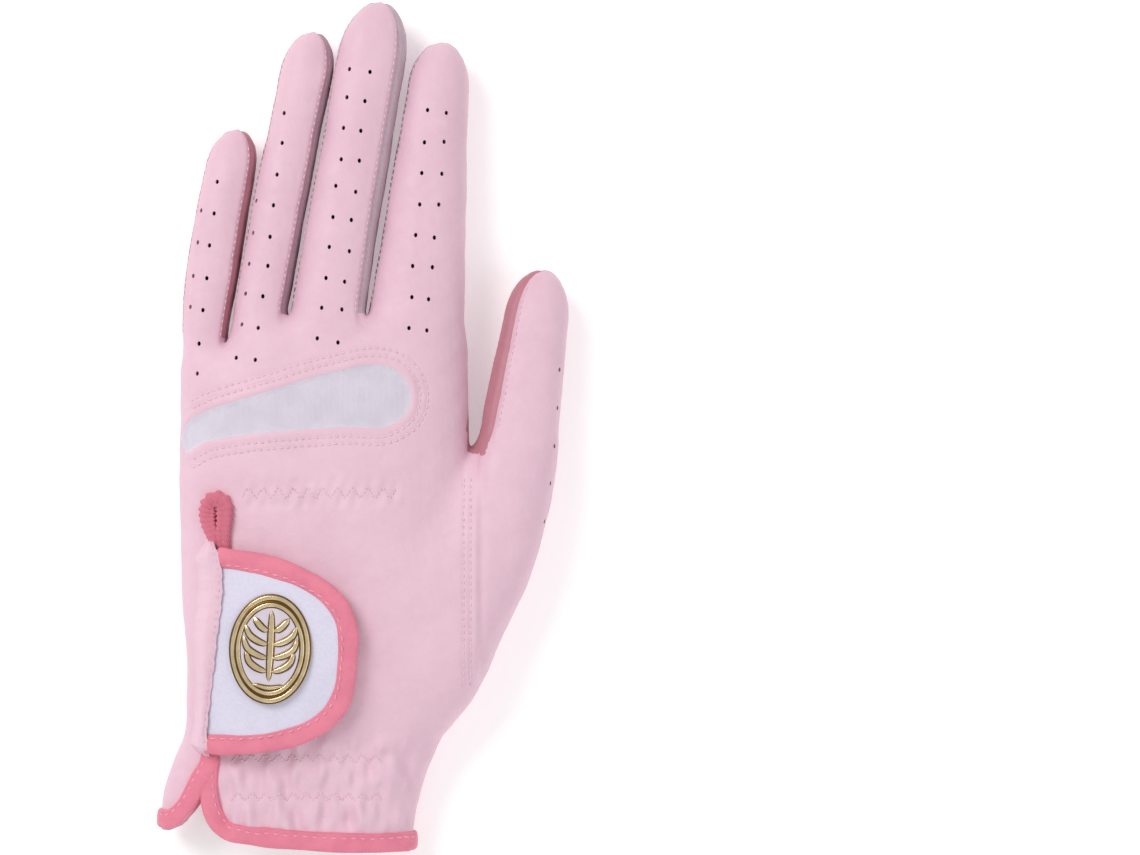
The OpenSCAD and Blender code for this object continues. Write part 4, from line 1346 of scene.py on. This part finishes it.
# The side flap's turned edge, lapped over the tab's sewn edge.
ys = np.linspace(-86.0, -28.8, 98)
HEM_EDGE = [(-86.0, -38.9), (-80, -39.4), (-69.8, -38.4), (-57.3, -36.9), (-32, -36.5), (-28.8, -37.8)]
root_x = curve(ys, HEM_EDGE)
root_x = root_x + 0.12 * np.sin(ys * 1.3) + 0.08 * np.sin(ys * 3.1 + 1)
wide = 6.8 - 5.0 * step(ys, -80, -86.0) - 4.6 * step(ys, -34, -28.8)
wide = np.minimum(wide, root_x - hand_section(ys)[0] - 2.6)
hem = []
for a in np.linspace(0, 1, 16):
    hx = root_x - wide + a * wide
    top = tab_height(hx, ys, 3.45)
    low = skin_height(hx, ys) + 0.02
    t = step(a, 0.0, 0.6) * step(ys, -86.2, -82.8) * step(ys, -27.8, -31.6)
    edge = -0.5 * step(a, 0.86, 1.0) - 0.22 * bump(a - 0.8, 0.05)
    hem.append(np.stack([hx, ys, low + (np.maximum(top, low) - low) * t + edge * t + 0.05], 1))
hem = np.array(hem)
hem[..., 2] += 0.08 * wobble(hem.reshape(-1, 3), (8, 7, 40), 51).reshape(hem.shape[:2])
hem_bend = ("hand", "closure_tab", np.array([-43.5, -57.5, 25.0]), np.array([-37.6, -57.5, 25.0]))
fold = grid_mesh(hem[:, ::-1], "flap_fold", 0.8)
add(fold, "flap_fold", [LEATHER_PINK, LEATHER_INNER], bend=hem_bend)
stitch_row = even_steps(np.stack([root_x - 0.95, ys, hem[13][:, 2] + 0.02], 1), 0.6)
bodies, _ = stitches([(stitch_row, np.tile([0.1, 0, 1.0], (len(stitch_row), 1)))], pitch=1.9, length=1.2,
                     radius=0.13)
add(stitch_mesh(bodies, "flap_fold_thread"), "flap_fold_thread", [THREAD], bend=hem_bend)

# ---------------------------------------------------------------- badge
badge_box = [np.array(v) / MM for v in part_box("badge_rim")]
BADGE = (badge_box[0][:2] + badge_box[1][:2]) / 2
BADGE_HALF = (badge_box[1][:2] - badge_box[0][:2]) / 2
BADGE_TURN = math.radians(-3.0)


def badge_xyz(a, b, lift):
    """A place on the badge: a and b in half widths and half lengths from its middle."""
    dx, dy = a * BADGE_HALF[0] * 0.99, b * BADGE_HALF[1] * 0.99
    px = BADGE[0] + dx * math.cos(BADGE_TURN) - dy * math.sin(BADGE_TURN)
    py = BADGE[1] + dx * math.sin(BADGE_TURN) + dy * math.cos(BADGE_TURN)
    base = tab_height(BADGE[0] + dx * 0.8, BADGE[1] + dy * 0.6, 3.0)
    return np.stack([px, py, base + lift], -1)


def ring_ridge(radius, width, tall, base=0.0):
    """A raised oval ring on the badge."""
    turn = np.linspace(0, 2 * np.pi, 220, endpoint=False)
    path = badge_xyz(radius * np.cos(turn), radius * np.sin(turn), base)
    return tape(path, np.tile(UP, (len(path), 1)), width, tall * 2, 0.0, 0.0, loop=True, puff=0.0)[:2]


def bar(line_ab, width, tall, base):
    """A raised line on the badge through (a, b) points, thinner towards its ends."""
    path = smooth_path(line_ab, 0.03)
    xyz = even_steps(badge_xyz(path[:, 0], path[:, 1], base), 0.3)
    size = np.clip(np.sin(np.linspace(0.12, math.pi - 0.12, len(xyz))) ** 0.45, 0.25, 1)
    return tape(xyz, np.tile(UP, (len(xyz), 1)), width, tall * 2, 0.0, 0.0, puff=0.0, scale=size)[:2]


turn = np.linspace(0, 2 * np.pi, 96, endpoint=False)
radii = np.concatenate([[0.02], np.linspace(0.08, 0.96, 26), [0.985]])
disc = np.array([badge_xyz(r * np.cos(turn), r * np.sin(turn), 0.1 + 0.12 * (1 - r ** 2) - 0.9 * (r > 0.97))
                 for r in radii])
add(grid_mesh(disc[::-1], "badge_plate_body", 0.5, closed=True), "badge_plate_body", [ENAMEL, ENAMEL],
    "closure_tab", ["badge_plate"])
rims = [ring_ridge(0.955, 1.05, 0.62), ring_ridge(0.82, 0.95, 0.5, 0.15)]
# Wider, lower dark rings under the rims: painted shade beside them.
edges = [ring_ridge(0.945, 2.0, 0.3), ring_ridge(0.83, 1.8, 0.22, 0.12)]
add(merged(rims, "badge_rims"), "badge_rims", [GOLD], "closure_tab", ["badge_rim"])
motif = []


def raised(line, width, tall):
    """A gold line of the motif with a wider, lower dark bar under it, painted shade along its sides."""
    motif.append(bar(line, width, tall, 0.25))
    edges.append(bar(line, width + 0.75, tall * 0.5, 0.2))


# A plain motif: a young tree with four pairs of curved branches over a furrow. A pair is how far up it starts,
# how far out its ends are and how much it rises.
raised([(0.0, -0.60), (0.015, 0.0), (0.0, 0.72)], 1.5, 0.6)
for side in (-1, 1):
    for b, out, rise in ((-0.42, 0.62, 0.40), (-0.17, 0.70, 0.40), (0.08, 0.66, 0.36), (0.33, 0.46, 0.26)):
        raised([(side * 0.04, b), (side * out * 0.45, b + 0.05), (side * out * 0.85, b + 0.19),
                (side * out, b + rise)], 1.35, 0.58)
raised([(-0.42, -0.66), (0.0, -0.72), (0.42, -0.66)], 0.8, 0.45)
add(merged(motif, "badge_motif"), "badge_motif", [GOLD], "closure_tab")
# The dark bars and rings under the gold: painted shade.
add(merged(edges, "badge_painted_shade_outlines"), "badge_painted_shade_outlines", [BADGE_PAINTED_SHADE], "closure_tab")

# ---------------------------------------------------------------- floor, light and camera
scene = bpy.context.scene
FLOOR_HALF, FLOOR_Z = 3, -0.0004  # m
floor_mesh = bpy.data.meshes.new("floor")
corners = [(-FLOOR_HALF, -FLOOR_HALF), (FLOOR_HALF, -FLOOR_HALF), (FLOOR_HALF, FLOOR_HALF),
           (-FLOOR_HALF, FLOOR_HALF)]
floor_mesh.from_pydata([(a, b, FLOOR_Z) for a, b in corners], [], [(0, 1, 2, 3)])
floor = bpy.data.objects.new("floor", floor_mesh)
scene.collection.objects.link(floor)
white = Look("floor_white", (250, 250, 250), 0.9, specular=0.1)
for socket, value in (("Emission Color", (1, 1, 1, 1)), ("Emission Strength", 0.24)):
    white.shader.inputs[socket].default_value = value
floor_mesh.materials.append(white.material)
floor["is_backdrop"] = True

world = bpy.data.worlds.new("studio")
world.use_nodes = True
world.node_tree.nodes["Background"].inputs["Color"].default_value = (1.0, 0.99, 0.985, 1)
world.node_tree.nodes["Background"].inputs["Strength"].default_value = 0.55
scene.world = world
scene.view_settings.view_transform = "Standard"


def softbox(name, place, size, power, rgb=(1, 1, 1)):
    light = bpy.data.lights.new(name, "AREA")
    light.shape, light.size, light.energy, light.color = "SQUARE", size, power, rgb
    obj = bpy.data.objects.new(name, light)
    obj.location = place
    obj.rotation_euler = (Vector((0, 0, 0)) - Vector(place)).to_track_quat("-Z", "Y").to_euler()
    scene.collection.objects.link(obj)
    obj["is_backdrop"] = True


softbox("key", (-0.7, 0.65, 1.05), 0.7, 10.5, (1, 0.99, 0.975))
softbox("fill", (0.9, -0.3, 0.9), 0.9, 3.0, (0.97, 0.98, 1.0))
softbox("low", (0.0, -1.1, 0.55), 0.7, 1.8)

camera = bpy.data.cameras.new("camera")
camera.sensor_width, camera.lens, camera.clip_end = 36.0, 181.2, 10.0
view = bpy.data.objects.new("camera", camera)
view.location = (0.05395, -0.00026, 1.5)
scene.collection.objects.link(view)
scene.camera = view

low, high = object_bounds()
